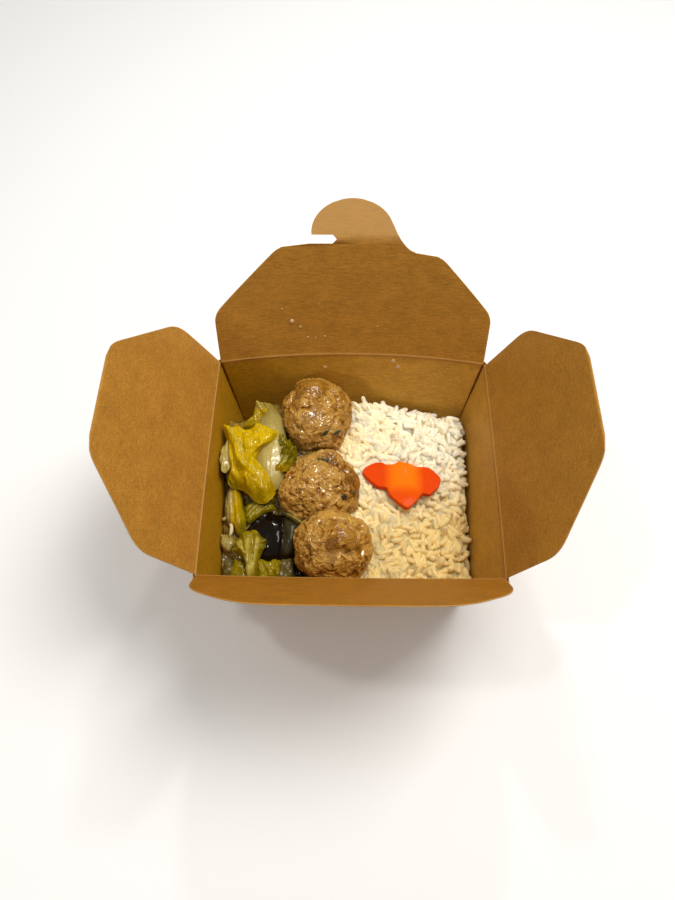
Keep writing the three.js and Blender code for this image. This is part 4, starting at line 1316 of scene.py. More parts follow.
def meatball(name, ball, material):
    """One meatball: an ellipsoid with broad lumps, roughened by the minced relief."""
    rings, rise, calm, grey = ball_surface(ball, sphere_grid(190, 300))
    poles = ball_surface(ball, np.array([[0.0, 0.0, 1.0], [0.0, 0.0, -1.0]]))[0]
    marks = {"relief": smooth(-1.0, 1.3, rise), "calm": calm, "grey": grey,
             "browned": np.full(rise.shape, ball["browned"])}
    obj = closed_ball(name + "_skin", kept_inside(rings, 0.4), poles[0], poles[1], marks)
    dress(obj, material)
    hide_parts(name)


# Scraps on the meatballs: ball, bearing and elevation in degrees, length, width, turn and tone.
FLECKS = [
    ("meatball_back", -66, 33, 5.8, 3.0, 5, 0.0), ("meatball_back", -50, 27, 4.2, 2.6, -20, 0.0),
    ("meatball_back", -104, 18, 2.6, 1.5, 40, 0.0), ("meatball_middle", 78, 61, 5.8, 3.0, 10, 0.0),
    ("meatball_middle", -38, 39, 3.0, 4.2, 20, 0.5), ("meatball_middle", -53, 38, 2.6, 2.0, 60, 1.0),
    ("meatball_front", 50, 42, 5.2, 2.2, 145, 1.0), ("meatball_front", -36, 10, 2.0, 1.6, 0, 0.5),
    ("meatball_front", 140, 40, 2.4, 1.2, 30, 0.0),
]


def fleck(ball, bearing, elevation, length, width, turn, seed):
    """A small flat scrap pressed into a meatball: a disc whose rim wanders, domed by half a sine and
    laid in the skin's tangent plane. Returns its rings and its two poles."""
    outward = towards(bearing, elevation)
    turn = math.radians(turn)
    place = ball_surface(ball, outward[None])[0][0]
    side = unit(np.cross([0.0, 0.0, 1.0], outward))
    up = np.cross(outward, side)
    first = side * math.cos(turn) + up * math.sin(turn)
    second = np.cross(outward, first)
    rings = sphere_grid(9, 20)
    wander = 1 + 0.35 * noise(rings * 2.0 + seed, 1.0, seed)[..., None]
    rings = rings * wander * np.array([length / 2, width / 2, 0.45])
    basis = np.stack([first, second, outward])
    ends = np.array([[0, 0, 0.45], [0, 0, -0.45]])
    return rings @ basis + place, ends @ basis + place


def make_flecks(settings):
    """Builds the scraps that stick to the meatballs as one piece."""
    balls = [fleck(BALLS[name], *place, seed + 1) for seed, (name, *place, _) in enumerate(FLECKS)]
    obj = joined_balls("herb_flecks", balls, [scrap[-1] for scrap in FLECKS])
    dress(obj, fleck_material(settings))


def make_meatballs(settings):
    """Builds the three meatballs and the scraps on them."""
    material = meat_material(settings)
    for name, ball in BALLS.items():
        meatball(name, ball, material)
    make_flecks(settings)


# ---- cabbage and wood ear --------------------------------------------------------------------

# Each piece has an outline [x, y], the height of its rim and how that height grows along x and y. Its
# middle rises by `dome`, its rim rolls down by `roll`. A ridge is [start, end, height, width]; a vein is
# a pale one. `ruffle` is the height and number of the rim's waves, `crumple` the height of wrinkles, and
# `pleats` and `creases` the heights of folds along `run`, a heading in degrees.
LEAF_DEFAULTS = dict(slope=(0, 0), ridges=[], veins=[], run=90.0, pleats=0.3, creases=0.25)
LEAVES = {
    "cabbage_stem": dict(
        outline=[(-40, 39.1), (-36.5, 36.6), (-34.1, 33.7), (-32.6, 26), (-31.2, 19), (-30.6, 12), (-31, 4),
                 (-33.5, -4.1), (-38, -7.5), (-44, -4), (-47, 6), (-47.5, 20), (-45.5, 31), (-43, 36.5)],
        height=46.6, slope=(0, 0.02), dome=3.6, roll=0.9, thick=2.4, crumple=0.12, ruffle=(0.3, 5),
        pleats=0.04, creases=0.1,
        ridges=[((-35.5, 33), (-33.2, 4), 0.25, 2.0), ((-41, 30), (-40, 4), 0.25, 2.6),
                ((-43, 14), (-38, -3), 0.3, 1.6)]),
    "cabbage_roll": dict(
        outline=[(-47.9, 42.2), (-45, 42.2), (-41.7, 41.4), (-39.6, 40.6), (-39.8, 37), (-42.8, 33),
                 (-45, 29.5), (-50.9, 27.2), (-54.2, 26.8), (-53.4, 29.2), (-50.2, 33.4), (-48.6, 37.4)],
        height=45.3, slope=(0.05, 0.1), dome=1.4, roll=1.4, thick=1.1, crumple=0.55, ruffle=(0.6, 4),
        ridges=[((-47.5, 41), (-42, 33), 1.3, 1.1), ((-44, 41.5), (-41, 37), 0.9, 1.0)],
        veins=[((-47.3, 41.2), (-45.5, 37.5), 0.3, 0.7)]),
    "cabbage_leaf": dict(
        outline=[(-61.4, 24.6), (-58.6, 25.2), (-54.5, 24.5), (-51.5, 23.4), (-48, 24.4), (-44.6, 26.3),
                 (-39.8, 25.1), (-36.2, 22.6), (-35.7, 18.9), (-38.2, 16), (-42, 13.6), (-44, 10.2), (-45, 6),
                 (-44, 3), (-40.5, 1), (-37.2, -2.6), (-35.5, -7.3), (-36.6, -11.8), (-40.6, -13.6),
                 (-45.4, -11.6), (-49.4, -8), (-52.6, -6.4), (-56.6, -5.6), (-58.2, -1.6), (-57.6, 3),
                 (-58.9, 7.4), (-59.3, 13.6), (-60.4, 19.6)],
        height=50.6, slope=(0, 0.13), dome=3.8, roll=2.4, thick=0.8, crumple=0.8, ruffle=(0.8, 11),
        pleats=0.22, creases=1.0, run=104.0,
        ridges=[((-61, 24), (-50, 1), 2.0, 1.7), ((-58.8, 13), (-55, -1), 1.4, 1.3),
                ((-55.5, 17), (-53.5, 4), 1.2, 1.0), ((-50, 21), (-49, 6), 1.3, 1.3),
                ((-45, 24), (-38, 20), 1.2, 2.2), ((-46, 15), (-47, 0), -1.0, 1.4),
                ((-52, 4), (-45, -2), 1.4, 1.2), ((-48, -3), (-40, -9), 1.2, 2.4),
                ((-57, 20), (-46, 20), -1.0, 1.2), ((-54, 2), (-57, -4), -0.8, 1.0)],
        veins=[((-58, 22), (-51, 8), 0.25, 0.45), ((-52, 14), (-50, 2), 0.25, 0.4),
               ((-47, 3), (-42, -3), 0.25, 0.5)]),
    "cabbage_edge": dict(
        outline=[(-62.4, 8.6), (-62.2, 11.6), (-61, 14.6), (-59.2, 16.4), (-57, 10), (-57, 2), (-58.6, 0.4),
                 (-60.4, 0.2), (-61.4, 2.6), (-62.2, 5.8)],
        height=51.0, dome=0.9, roll=0.3, thick=1.2, crumple=0.7, ruffle=(0.6, 5)),
    "cabbage_green": dict(
        outline=[(-36.4, 23), (-32, 20.6), (-28.4, 17.2), (-25.8, 13), (-26, 8.4), (-28.2, 4.4), (-32, 1.4),
                 (-35.6, 2.4), (-35.4, 8), (-33.8, 12), (-34.4, 16), (-36.6, 19)],
        height=48.4, slope=(0, 0.05), dome=1.8, roll=0.8, thick=1.0, crumple=1.5, ruffle=(1.4, 11),
        pleats=1.1, creases=1.2, run=60.0,
        ridges=[((-33.5, 20), (-29.5, 13), 1.6, 0.8), ((-28, 12), (-32.5, 4), 1.8, 0.9),
                ((-30, 15), (-33.5, 8), -1.2, 0.8)],
        veins=[((-34.5, 20.5), (-31, 16), 0.3, 0.5), ((-30, 9), (-33.5, 4), 0.3, 0.4)]),
    "cabbage_strip": dict(
        outline=[(-58.6, -4), (-55.8, -2.4), (-52.8, -3.6), (-51.6, -8), (-50.7, -13.4), (-49, -19),
                 (-49.6, -23.4), (-51.4, -26.6), (-53.6, -25), (-54.6, -22.4), (-56.6, -22.2),
                 (-58.5, -19.4), (-59.6, -14.4), (-59.8, -9)],
        height=40.6, slope=(0, 0.1), dome=2.0, roll=0.8, thick=1.8, crumple=0.35, ruffle=(0.4, 5),
        ridges=[((-55, -5), (-51.5, -23), 1.2, 1.2), ((-57, -6), (-56.2, -20), 0.7, 1.0)],
        veins=[((-57.6, -7), (-57, -20), 0.15, 0.3)]),
    "cabbage_shred": dict(
        outline=[(-50, -13.6), (-47.6, -10.2), (-44.4, -9.4), (-40.2, -10), (-36.6, -11.8), (-35.4, -13.8),
                 (-38.3, -15.4), (-41.5, -16.6), (-44.7, -19), (-47.4, -20.8), (-49.2, -18.4)],
        height=40.6, slope=(0.02, 0.04), dome=1.5, roll=0.7, thick=1.1, crumple=0.4, ruffle=(0.5, 6),
        veins=[((-48.6, -17.5), (-43, -12), 0.35, 0.35), ((-46.8, -18), (-41.2, -12.6), 0.35, 0.35),
               ((-48.6, -14.5), (-45, -11), 0.3, 0.3), ((-44.4, -17), (-39.6, -13.2), 0.3, 0.3)]),
    "cabbage_fan": dict(
        outline=[(-49.7, -27), (-46.5, -25.6), (-43.2, -26), (-41.2, -28.1), (-38.6, -29.8), (-38.3, -31.4),
                 (-39, -34), (-40.5, -36.6), (-41.6, -39.4), (-42.4, -43), (-43, -47.4), (-47.4, -47.4),
                 (-47.2, -42.4), (-48.4, -39.1), (-51.1, -36.9), (-53.7, -35.4), (-53.8, -33.4), (-52.8, -31),
                 (-51.5, -29)],
        height=42.2, slope=(0, 0.2), dome=1.8, roll=0.9, thick=1.0, crumple=0.6, ruffle=(0.9, 9),
        pleats=0.4, creases=0.6, run=97.0,
        ridges=[((-48.5, -28.5), (-46.4, -41), 1.5, 1.0), ((-52, -33), (-48, -37.5), 1.2, 0.9),
                ((-44.5, -29), (-45, -42), -1.2, 1.0)],
        veins=[((-46.5, -31), (-45.6, -46.5), 0.5, 0.75), ((-42.5, -30.5), (-44.4, -45), 0.5, 0.8),
               ((-50, -31.5), (-46.5, -43), 0.3, 0.5)]),
    "cabbage_chip": dict(
        outline=[(-60.1, -25.6), (-56.6, -25.8), (-54.4, -28.4), (-54.2, -31), (-55.2, -33.6), (-57.8, -33.8),
                 (-60, -31.4), (-60.6, -28.2)],
        height=37.6, dome=1.0, roll=0.5, thick=1.4, crumple=0.6, ruffle=(0.4, 5)),
    "cabbage_corner": dict(
        outline=[(-42.8, -37.4), (-37.8, -37.2), (-32.3, -37), (-31.8, -41.4), (-33, -46.6), (-42.6, -46.6)],
        height=37.2, slope=(0, 0.06), dome=1.4, roll=0.6, thick=1.0, crumple=1.0, ruffle=(0.8, 6),
        ridges=[((-40, -38), (-36, -45), 0.8, 0.9)]),
    "cabbage_clear": dict(
        outline=[(-31.9, -37), (-26.8, -36.8), (-26.1, -41.3), (-26.4, -46), (-33.3, -46.4), (-32.2, -41.4)],
        height=37.0, dome=1.4, roll=0.5, thick=1.4, crumple=0.7, ruffle=(0.4, 4)),
    "wood_ear": dict(
        outline=[(-51.6, -27), (-48.4, -22.4), (-45.4, -18.5), (-42.3, -15.7), (-38.4, -14.4), (-35.2, -15.2),
                 (-31.5, -15.2), (-27, -18.2), (-22.5, -20.6), (-19.4, -19.8), (-19.8, -23), (-22, -27),
                 (-23, -31.4), (-25, -35), (-28.4, -38.4), (-34, -38.6), (-39, -39.4), (-43, -38), (-47, -34),
                 (-50.5, -30.4)],
        height=38.6, dome=3.2, roll=1.2, thick=1.3, crumple=0.1, ruffle=(0.5, 5),
        pleats=0.0, creases=0.0,
        ridges=[((-50, -26), (-40, -15.8), 1.1, 0.9), ((-33.4, -15), (-30.6, -27), -0.9, 1.5),
                ((-30.6, -27), (-32, -38), -0.9, 1.5), ((-27, -20), (-26.5, -35), 0.9, 2.6)]),
}
# Small extra pieces in the sauce, in the same terms, and how finely they are made.
SCRAP_GRID = dict(rings=16, count=80)
SCRAPS = {
    "cabbage_low_leaf": dict(
        outline=[(-53.8, -38.2), (-51.2, -38.4), (-48.6, -39.8), (-46.6, -43), (-46.4, -47.2),
                 (-53.8, -47.4)],
        height=37.4, slope=(0, 0.05), dome=1.1, roll=0.5, thick=1.0, crumple=0.9, ruffle=(0.7, 6)),
    "cabbage_pale_scrap": dict(
        outline=[(-58, -38.6), (-54.7, -37), (-53.2, -45.3), (-57.6, -45.8)],
        height=36.4, dome=0.8, roll=0.4, thick=1.2, crumple=0.7, ruffle=(0.4, 4)),
    "cabbage_sliver": dict(
        outline=[(-30.6, -14.6), (-27.8, -16.4), (-24.4, -19), (-21.8, -20.4), (-22, -22), (-24.4, -22),
                 (-27.6, -20), (-30, -17.4)],
        height=41.6, dome=1.2, roll=0.4, thick=1.0, crumple=0.2, ruffle=(0.2, 3),
        ridges=[((-30, -17), (-22, -21.7), 0.7, 0.5)], veins=[((-30, -17.2), (-22, -21.9), 0.2, 0.4)]),
    "wood_ear_tip": dict(
        outline=[(-26, -40), (-22.2, -41.6), (-21.8, -46.4), (-26.6, -46.8)],
        height=36.4, dome=1.0, roll=0.5, thick=1.2, crumple=0.3, ruffle=(0.2, 3)),
}


def near_line(x, y, start, end, width):
    """1 on a line between two points, falling off as a bell across it and beyond its ends."""
    start, end = np.array(start, dtype=float), np.array(end, dtype=float)
    run = end - start
    along = np.clip(((x - start[0]) * run[0] + (y - start[1]) * run[1]) / (run @ run), 0.0, 1.0)
    gap = np.hypot(x - start[0] - along * run[0], y - start[1] - along * run[1])
    return np.exp(-(gap / width) ** 2)


def leaf_height(leaf, x, y, share, angle, seed):
    """Height of a leaf's middle layer at a share 0..1 of the way from its middle to its rim: the
    rim's plane, its dome, ridges, veins, the waves of its rim, blisters, the roll of its rim, and
    pleats and finer creases, each the fold of a noise that is drawn out along the leaf's run."""
    lines = sum(height * near_line(x, y, start, end, width)
                for start, end, height, width in leaf["ridges"] + leaf["veins"])
    wave, count = leaf["ruffle"]
    flat = np.stack([x, y, 0 * x + 9.0 * seed], axis=-1)
    near, _ = cells(flat + noise(flat, 2.5, seed)[..., None], 3.4, seed)
    blisters = np.sqrt(np.clip(1.0 - near ** 2, 0.0, 1.0)) - 0.6
    wrinkles = leaf["crumple"] * (layered(flat, 4.2, 3, seed) + blisters)
    turn = math.radians(leaf["run"])
    across = x * math.sin(turn) - y * math.cos(turn) + 1.6 * noise(flat, 8.0, seed + 5)
    along = x * math.cos(turn) + y * math.sin(turn)
    pleat_place = np.stack([across / PLEAT_WIDTH, along / PLEAT_LENGTH, 0 * x + seed], axis=-1)
    pleats = leaf["pleats"] * (1.0 - 2.0 * np.abs(noise(pleat_place, 1.0, seed + 7)))
    crease_place = np.stack([across, along / 2.5, 0 * x + seed], axis=-1)
    folds = 0.5 - np.abs(noise(crease_place + 0.8 * noise(flat, 2.4, seed + 9)[..., None], 1.7, seed + 11))
    fine_folds = 0.5 - np.abs(noise(crease_place, 0.85, seed + 13))
    pleats = pleats + leaf["creases"] * (folds + 0.5 * fine_folds)
    return (leaf["height"] + leaf["slope"][0] * (x - x.mean()) + leaf["slope"][1] * (y - y.mean())
            + leaf["dome"] * (1.0 - share ** 2) + lines
            + wave * share ** 3 * np.sin(count * angle + seed) + wrinkles + pleats
            - leaf["roll"] * smooth(0.75, 1.0, share) ** 2)


def leaf_piece(name, leaf, seed, material, slot, tone, replaces=None, rings=46, count=240):
    """One leaf as a closed thin solid. Its plan runs from the outline's middle straight out to the
    outline, a closed smooth curve; both faces follow the same height, half the thickness above and
    below it, and the thickness fades to a rounded rim. `tone(share, x, y)` is the number that its
    material colours it by."""
    leaf = LEAF_DEFAULTS | leaf
    outline = closed_curve(leaf["outline"], count)
    middle = outline.mean(axis=0)
    flat = np.c_[outline, 0 * outline[:, :1]]
    outline = outline + (outline - middle) * 0.012 * noise(flat, 1.6, seed)[:, None]
    share = np.sin(np.linspace(0.03, np.pi / 2, rings))[:, None]
    plan = middle + (outline - middle) * share[..., None]
    x, y = plan[..., 0], plan[..., 1]
    angle = np.broadcast_to(np.arange(count) * 2 * np.pi / count, x.shape)
    share = np.broadcast_to(share, x.shape)
    height = leaf_height(leaf, x, y, share, angle, seed)
    half = leaf["thick"] / 2 * (0.12 + 0.88 * np.sqrt(np.clip(1 - share ** 5, 0, 1)))
    upper = np.stack([x, y, height + half], axis=-1)
    lower = np.stack([x, y, height - half], axis=-1)
    points = np.concatenate([upper, lower[::-1]])
    veins = sum((near_line(x, y, start, end, 1.3 * width) for start, end, _, width in leaf["veins"]), 0 * x)
    tones = tone(share, x, y) + 0 * x
    marks = {"tone": np.concatenate([tones, tones[::-1]]), "vein": np.concatenate([veins, veins[::-1]])}
    top, bottom = upper[0].mean(axis=0), lower[0].mean(axis=0)
    obj = closed_ball(name + "_piece", points, top, bottom, marks)
    dress(obj, material)
    if replaces:
        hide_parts(replaces)


def cabbage_top(x, y):
    """Height of the soaked bed under the leaves: it rises to the back and falls into the back corner."""
    rise = 33 + 4.5 * smooth(-45, -15, y) + 6 * smooth(-15, 20, y)
    back_fall = (9 + 15 * (1 - smooth(-54, -38, x))) * smooth(30, 49, y)
    return rise - back_fall + 0.5 * unevenness(x * 1.4, y)


def cabbage_bed(settings):
    """The soaked scraps and sauce under the visible pieces: soft heaps with a rippled, wet top."""
    grid = heap_grid(lambda y: -63.0 + 0 * y, lambda y: divide(y) + 3.0,
                     lambda x, y: cabbage_top(x, y) - 0.4, 0.7, 130, 220)
    near, second = cells(grid * np.array([1, 1, 0.6]), 6.0, seed=9)
    folds = 0.8 * (0.5 - near) - 0.4 * np.exp(-((second - near) / 0.12) ** 2)
    grid[..., 2] += folds + 0.5 * layered(grid, 3.2, 3, 4)
    bed = heap_solid("cabbage_bed_surface", grid, near)
    dress(bed, sauce_material(settings))
    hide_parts("cabbage_bed")


def make_cabbage(settings):
    """Builds the cabbage pieces and the soaked bed under them."""
    stem, yellow, green, clear, bright = (tuple(colour) for colour in (
        settings.stem_colour, settings.leaf_colour, settings.green_colour, settings.clear_colour,
        settings.bright_colour))
    dark_green = shade(green, 0.35)
    pale = leaf_material("Cabbage stem", [(0.0, shade(stem, 1.25)), (0.5, stem), (1.0, shade(green, 0.9))],
                         0.55, 0.35, 0.9, 0.3)
    leaf = leaf_material("Cabbage leaf", [(0.0, bright), (0.45, yellow), (1.0, green)], 0.35, 0.15, 0.7, 0.7)
    edge = leaf_material("Cabbage green", [(0.0, shade(yellow, 0.8)), (0.45, green), (1.0, dark_green)],
                         0.6, 0.15, 0.8, 0.6)
    strip = leaf_material("Cabbage strip", [(0.05, shade(stem, 0.9)), (0.5, yellow), (1.0, green)],
                          0.5, 0.15, 0.9, 0.5)
    clear = leaf_material("Cabbage clear", [(0.0, shade(clear, 1.6)), (0.5, clear), (1.0, shade(clear, 0.5))],
                          0.8, 0.2, 0.9, 0.6)
    cabbage_bed(settings)
    plan = [
        ("cabbage_stem", pale, "cabbage_stem",
         lambda s, x, y: 0.35 - 0.35 * near_line(x, y, (-40, 12), (-40, 2), 6) + 0.25 * smooth(24, 36, y)
         + 0.4 * smooth(-35, -31, x) + 0.25 * smooth(0, -6, y)),
        ("cabbage_roll", strip, "cabbage_leaf", lambda s, x, y: 0.15 + 0.55 * smooth(38.5, 34, y)),
        ("cabbage_leaf", leaf, "cabbage_leaf",
         lambda s, x, y: 0.2 + 0.5 * smooth(4, -12, y) + 0.45 * smooth(1, -5, y) * smooth(-50, -56, x)
         - 0.25 * smooth(-48, -42, x) * smooth(12, 18, y)),
        ("cabbage_edge", pale, "cabbage_stem", lambda s, x, y: 0.15 - 0.15 * smooth(4, 0, y)),
        ("cabbage_green", edge, "cabbage_leaf", lambda s, x, y: 0.65 - 0.5 * smooth(9, 3, y)),
        ("cabbage_strip", strip, "cabbage_leaf",
         lambda s, x, y: 0.5 * smooth(-57.2, -54.2, x) + 0.4 * smooth(-53, -50.5, x)
         + 0.1 * smooth(-16, -26, y)),
        ("cabbage_shred", edge, "cabbage_leaf", lambda s, x, y: 0.35 + 0.2 * s),
        ("cabbage_fan", edge, "cabbage_leaf", lambda s, x, y: 0.3 + 0.35 * smooth(-43, -39.5, x) + 0.1 * s),
        ("cabbage_chip", pale, "cabbage_stem", lambda s, x, y: 0.35),
        ("cabbage_corner", edge, "cabbage_leaf", lambda s, x, y: 0.35),
        ("cabbage_clear", clear, "cabbage_stem", lambda s, x, y: 0.4),
    ]
    for seed, (name, material, slot, tone) in enumerate(plan):
        leaf_piece(name, LEAVES[name], seed + 1, material, slot, tone, replaces=name)
    scraps = (("cabbage_low_leaf", edge, 0.4), ("cabbage_pale_scrap", clear, 0.4),
              ("cabbage_sliver", clear, 0.75))
    for seed, (name, material, tone) in enumerate(scraps):
        leaf_piece(name, SCRAPS[name], seed + 31, material, "cabbage_leaf", lambda s, x, y: tone,
                   **SCRAP_GRID)


def make_wood_ear(settings):
    """Builds the wood ear and a small tip of another one."""
    material = ear_material(settings)
    # The tone marks the right lobe for its painted sheen.
    leaf_piece("wood_ear", LEAVES["wood_ear"], 21, material, "wood_ear",
               lambda s, x, y: smooth(-32, -29.5, x) * smooth(-20, -24, x)
               * smooth(-38, -33, y) * smooth(-15, -18, y),
               replaces="wood_ear")
    leaf_piece("wood_ear_tip", SCRAPS["wood_ear_tip"], 22, material, "wood_ear", lambda s, x, y: 0.0,
               **SCRAP_GRID)


# ---- carrot ----------------------------------------------------------------------------------

def make_carrot(settings):
    """Builds the carrot slice: its outline is carried along a profile that goes from the middle of
    the top over a rounded edge to the middle of the underside, then the slice is swelled a little
    and tilted."""
    outline = closed_curve(CARROT_OUTLINE, 240, CARROT_PULL) - np.array(CARROT_CENTRE[:2])
    half = CARROT_THICKNESS / 2
    turn = np.radians(np.linspace(90, -90, 11))
    level = np.concatenate([np.full(24, half), half * np.sin(turn), np.full(24, -half)])
    share = np.concatenate([np.linspace(0.05, 0.94, 24), np.ones(11), np.linspace(0.94, 0.05, 24)])
    shrink = np.concatenate([np.zeros(24), 0.55 * (np.cos(turn) - 1), np.zeros(24)])
    length = np.linalg.norm(outline, axis=-1, keepdims=True)
    rings = outline[None] * share[:, None, None] + outline / length * shrink[:, None, None]
    z = np.broadcast_to(level[:, None], rings.shape[:2])
    points = np.concatenate([rings, z[..., None]], axis=-1)
    x, y = points[..., 0], points[..., 1]
    points[..., 2] += 0.3 * layered(points, 11.0, 2, 6) + 0.5 * near_line(x, y, (0, 8), (1, -9), 5.0)
    side = smooth(2.5, 12.0, np.abs(x - 0.6) + 0.6 * noise(points, 3.0, 3))
    tone = np.maximum(side, 0.8 * smooth(1.0, -9.0, y))
    tilt_x, tilt_y = (math.radians(angle) for angle in CARROT_TILT)
    place = np.array(Matrix.Rotation(tilt_y, 3, "Y") @ Matrix.Rotation(tilt_x, 3, "X")).T
    poles = np.array([[0, 0, half + 0.5], [0, 0, 0.5 - half]]) @ place + CARROT_CENTRE
    obj = closed_ball("carrot_slice_piece", points @ place + CARROT_CENTRE, *poles, {"tone": tone})
    dress(obj, carrot_material(settings))
    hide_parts("carrot_slice")


# ---- stage -----------------------------------------------------------------------------------

CAMERA_PLACE = (-2.056, -136.331, 336.884)
CAMERA_YAW = -1.69
CAMERA_PITCH = -62.48
CAMERA_ROLL = -0.92
PICTURE_HEIGHT = 900
FOCAL_PIXELS = 676.0
SENSOR = 36.0
FLOOR_REACH = 1500.0
WARM_WHITE = (1.0, 0.97, 0.92)
GLINT_DIRECTIONS = [(0.014, 0.667, 0.746), (-0.35, -0.03, 0.9), (-0.5, -0.7, 0.47)]


def add_camera():
    """The camera at the photograph's place: heading, downward pitch and a slight roll."""
    data = bpy.data.cameras.new("Camera")
    data.sensor_fit = "VERTICAL"
    data.sensor_height = SENSOR
    data.lens = FOCAL_PIXELS / PICTURE_HEIGHT * SENSOR
    data.clip_start = 0.01
    camera = bpy.data.objects.new("Camera", data)
    yaw, pitch, roll = (math.radians(a) for a in (CAMERA_YAW, CAMERA_PITCH, CAMERA_ROLL))
    forward = np.array([math.sin(yaw) * math.cos(pitch), math.cos(yaw) * math.cos(pitch), math.sin(pitch)])
    right = np.array([math.cos(yaw), -math.sin(yaw), 0.0])
    up = np.cross(right, forward)
    rolled_right = math.cos(roll) * right + math.sin(roll) * up
    rolled_up = -math.sin(roll) * right + math.cos(roll) * up
    turn = Matrix((rolled_right, rolled_up, -forward)).transposed()
    camera.matrix_world = Matrix.Translation(np.array(CAMERA_PLACE) * MM) @ turn.to_4x4()
    bpy.context.scene.collection.objects.link(camera)
    bpy.context.scene.camera = camera


def add_light(name, direction, distance, size, power, colour):
    """A square area light at a distance along a direction from the food, facing it."""
    data = bpy.data.lights.new(name, "AREA")
    data.size = size
    data.energy = power
    data.color = colour
    lamp = bpy.data.objects.new(name, data)
    towards = Vector(direction).normalized()
    lamp.location = towards * distance + Vector((0.0, 0.0, 0.04))
    lamp.rotation_euler = towards.to_track_quat("Z", "Y").to_euler()
    bpy.context.scene.collection.objects.link(lamp)


def make_stage(settings):
    """Builds the floor, the lights, the plain surroundings and the camera."""
    bpy.context.scene.view_settings.view_transform = "Standard"
    x, y = np.meshgrid(np.linspace(-FLOOR_REACH, FLOOR_REACH, 9), np.linspace(-FLOOR_REACH, FLOOR_REACH, 9))
    floor = build_mesh("floor", np.stack([x, y, 0 * x - 0.05], axis=-1), [grid_quads(9, 9)])
    floor.data.materials.append(floor_material(settings))
    add_light("key", (0.33, 0.22, 0.92), 0.9, 0.4, settings.key_power, WARM_WHITE)
    for number, direction in enumerate(GLINT_DIRECTIONS):
        add_light(f"glint_{number + 1}", direction, 0.8, 0.05, settings.glint_power, WARM_WHITE)
    world = bpy.data.worlds.new("Surroundings")
    world.use_nodes = True
    background = world.node_tree.nodes["Background"]
    background.inputs["Color"].default_value = (1.0, 0.99, 0.97, 1.0)
    background.inputs["Strength"].default_value = settings.sky_strength
    bpy.context.scene.world = world
    add_camera()


# ---- settings, operators and panel -----------------------------------------------------------

def colour_property(name, description, default):
    """A colour setting."""
    return FloatVectorProperty(name=name, description=description, subtype="COLOR", default=default,
                               min=0.0, max=1.0)


def tint_property(name, description, default):
    """A setting that a colour is multiplied by, channel by channel."""
    return FloatVectorProperty(name=name, description=description, default=default, min=0.0, max=3.0)


def count_property(name, default):
    """A number of grains in a layer."""
    text = "Grains laid, before those that would cross the walls, the meatballs or the carrot are left out"
    return IntProperty(name=name, description=text, default=default, min=100, max=900)


class FOODBOX_PG_box(bpy.types.PropertyGroup):
    """Settings of the card box."""
    colour: colour_property("Card colour", "Colour of the brown card", (0.4, 0.185, 0.027))
    # Painted highlight along the creases, and the paler card of the cut edges.
    crease_highlight_and_edge_colour: colour_property("Crease colour", "Colour of the creases and cut edges", (0.62, 0.38, 0.14))
    # Painted sheen on the round tab.
    tab_sheen_colour: colour_property("Tab colour", "Colour of the worn round tab", (0.66, 0.39, 0.15))
    # Painted bounce light on the walls' inner faces.
    wall_light_tint: tint_property("Lining tint", "What the walls' slick lining multiplies the card's colour by",
                               (1.4, 1.65, 1.8))
    # Less painted bounce light, and yellower, on the left walls.
    left_wall_light_tint: tint_property("Soaked tint", "The same where sauce soaked into the lining", (1.02, 1.1, 0.3))
    # Painted shade on the front panel's inner face.
    panel_shade_tint: tint_property("Stain tint", "What grease multiplies the card's colour by", (0.74, 0.64, 0.35))


class FOODBOX_PG_rice(bpy.types.PropertyGroup):
    """Settings of the rice."""
    colour: colour_property("Rice colour", "Colour of a clean grain", (0.88, 0.86, 0.72))
    warm_colour: colour_property("Warm rice colour", "Colour of grains that took up juices",
                                 (0.92, 0.74, 0.37))
    # Painted shade towards the front of the rice.
    front_shade_colour: colour_property("Damp rice colour", "Colour of the grains in front", (0.7, 0.55, 0.25))
    # Painted shade deep between the grains.
    gap_shade_colour: colour_property("Gap colour", "Colour deep between the grains", (0.48, 0.36, 0.11))
    grain_length: FloatProperty(name="Grain length", description="Length of a cooked grain in millimetres",
                                default=7.2, min=4.0, max=10.0)
    grain_width: FloatProperty(name="Grain width", description="Width of a cooked grain in millimetres",
                               default=2.8, min=1.5, max=4.0)
    lower_count: count_property("Lower grains", 560)
    upper_count: count_property("Upper grains", 420)
    seed: IntProperty(name="Seed", description="Start of the random draws", default=4, min=0)


class FOODBOX_PG_meat(bpy.types.PropertyGroup):
    """Settings of the meatballs."""
    light_colour: colour_property("Light colour", "Colour of the smooth lumps", (0.49, 0.24, 0.03))
    golden_colour: colour_property("Golden colour", "Colour of the browned skin", (0.43, 0.17, 0.007))
    pink_colour: colour_property("Pink colour", "Colour of the pinker patches", (0.46, 0.215, 0.05))
    brown_colour: colour_property("Brown colour", "Colour of the darkest browned parts", (0.28, 0.095, 0.003))
    grey_colour: colour_property("Grey colour", "Colour of the greyish patches", (0.42, 0.26, 0.09))
    # Painted highlight on top of the lumps.
    lump_highlight_colour: colour_property("High colour", "Colour on top of the lumps", (0.72, 0.42, 0.09))
    # Painted shade in the hollows.
    hollow_shade_colour: colour_property("Dark colour", "Colour in the hollows", (0.14, 0.045, 0.001))
    herb_colour: colour_property("Herb colour", "Colour of the herb scraps", (0.03, 0.04, 0.008))
    bit_colour: colour_property("Bit colour", "Colour of the yellow bits", (0.6, 0.36, 0.03))


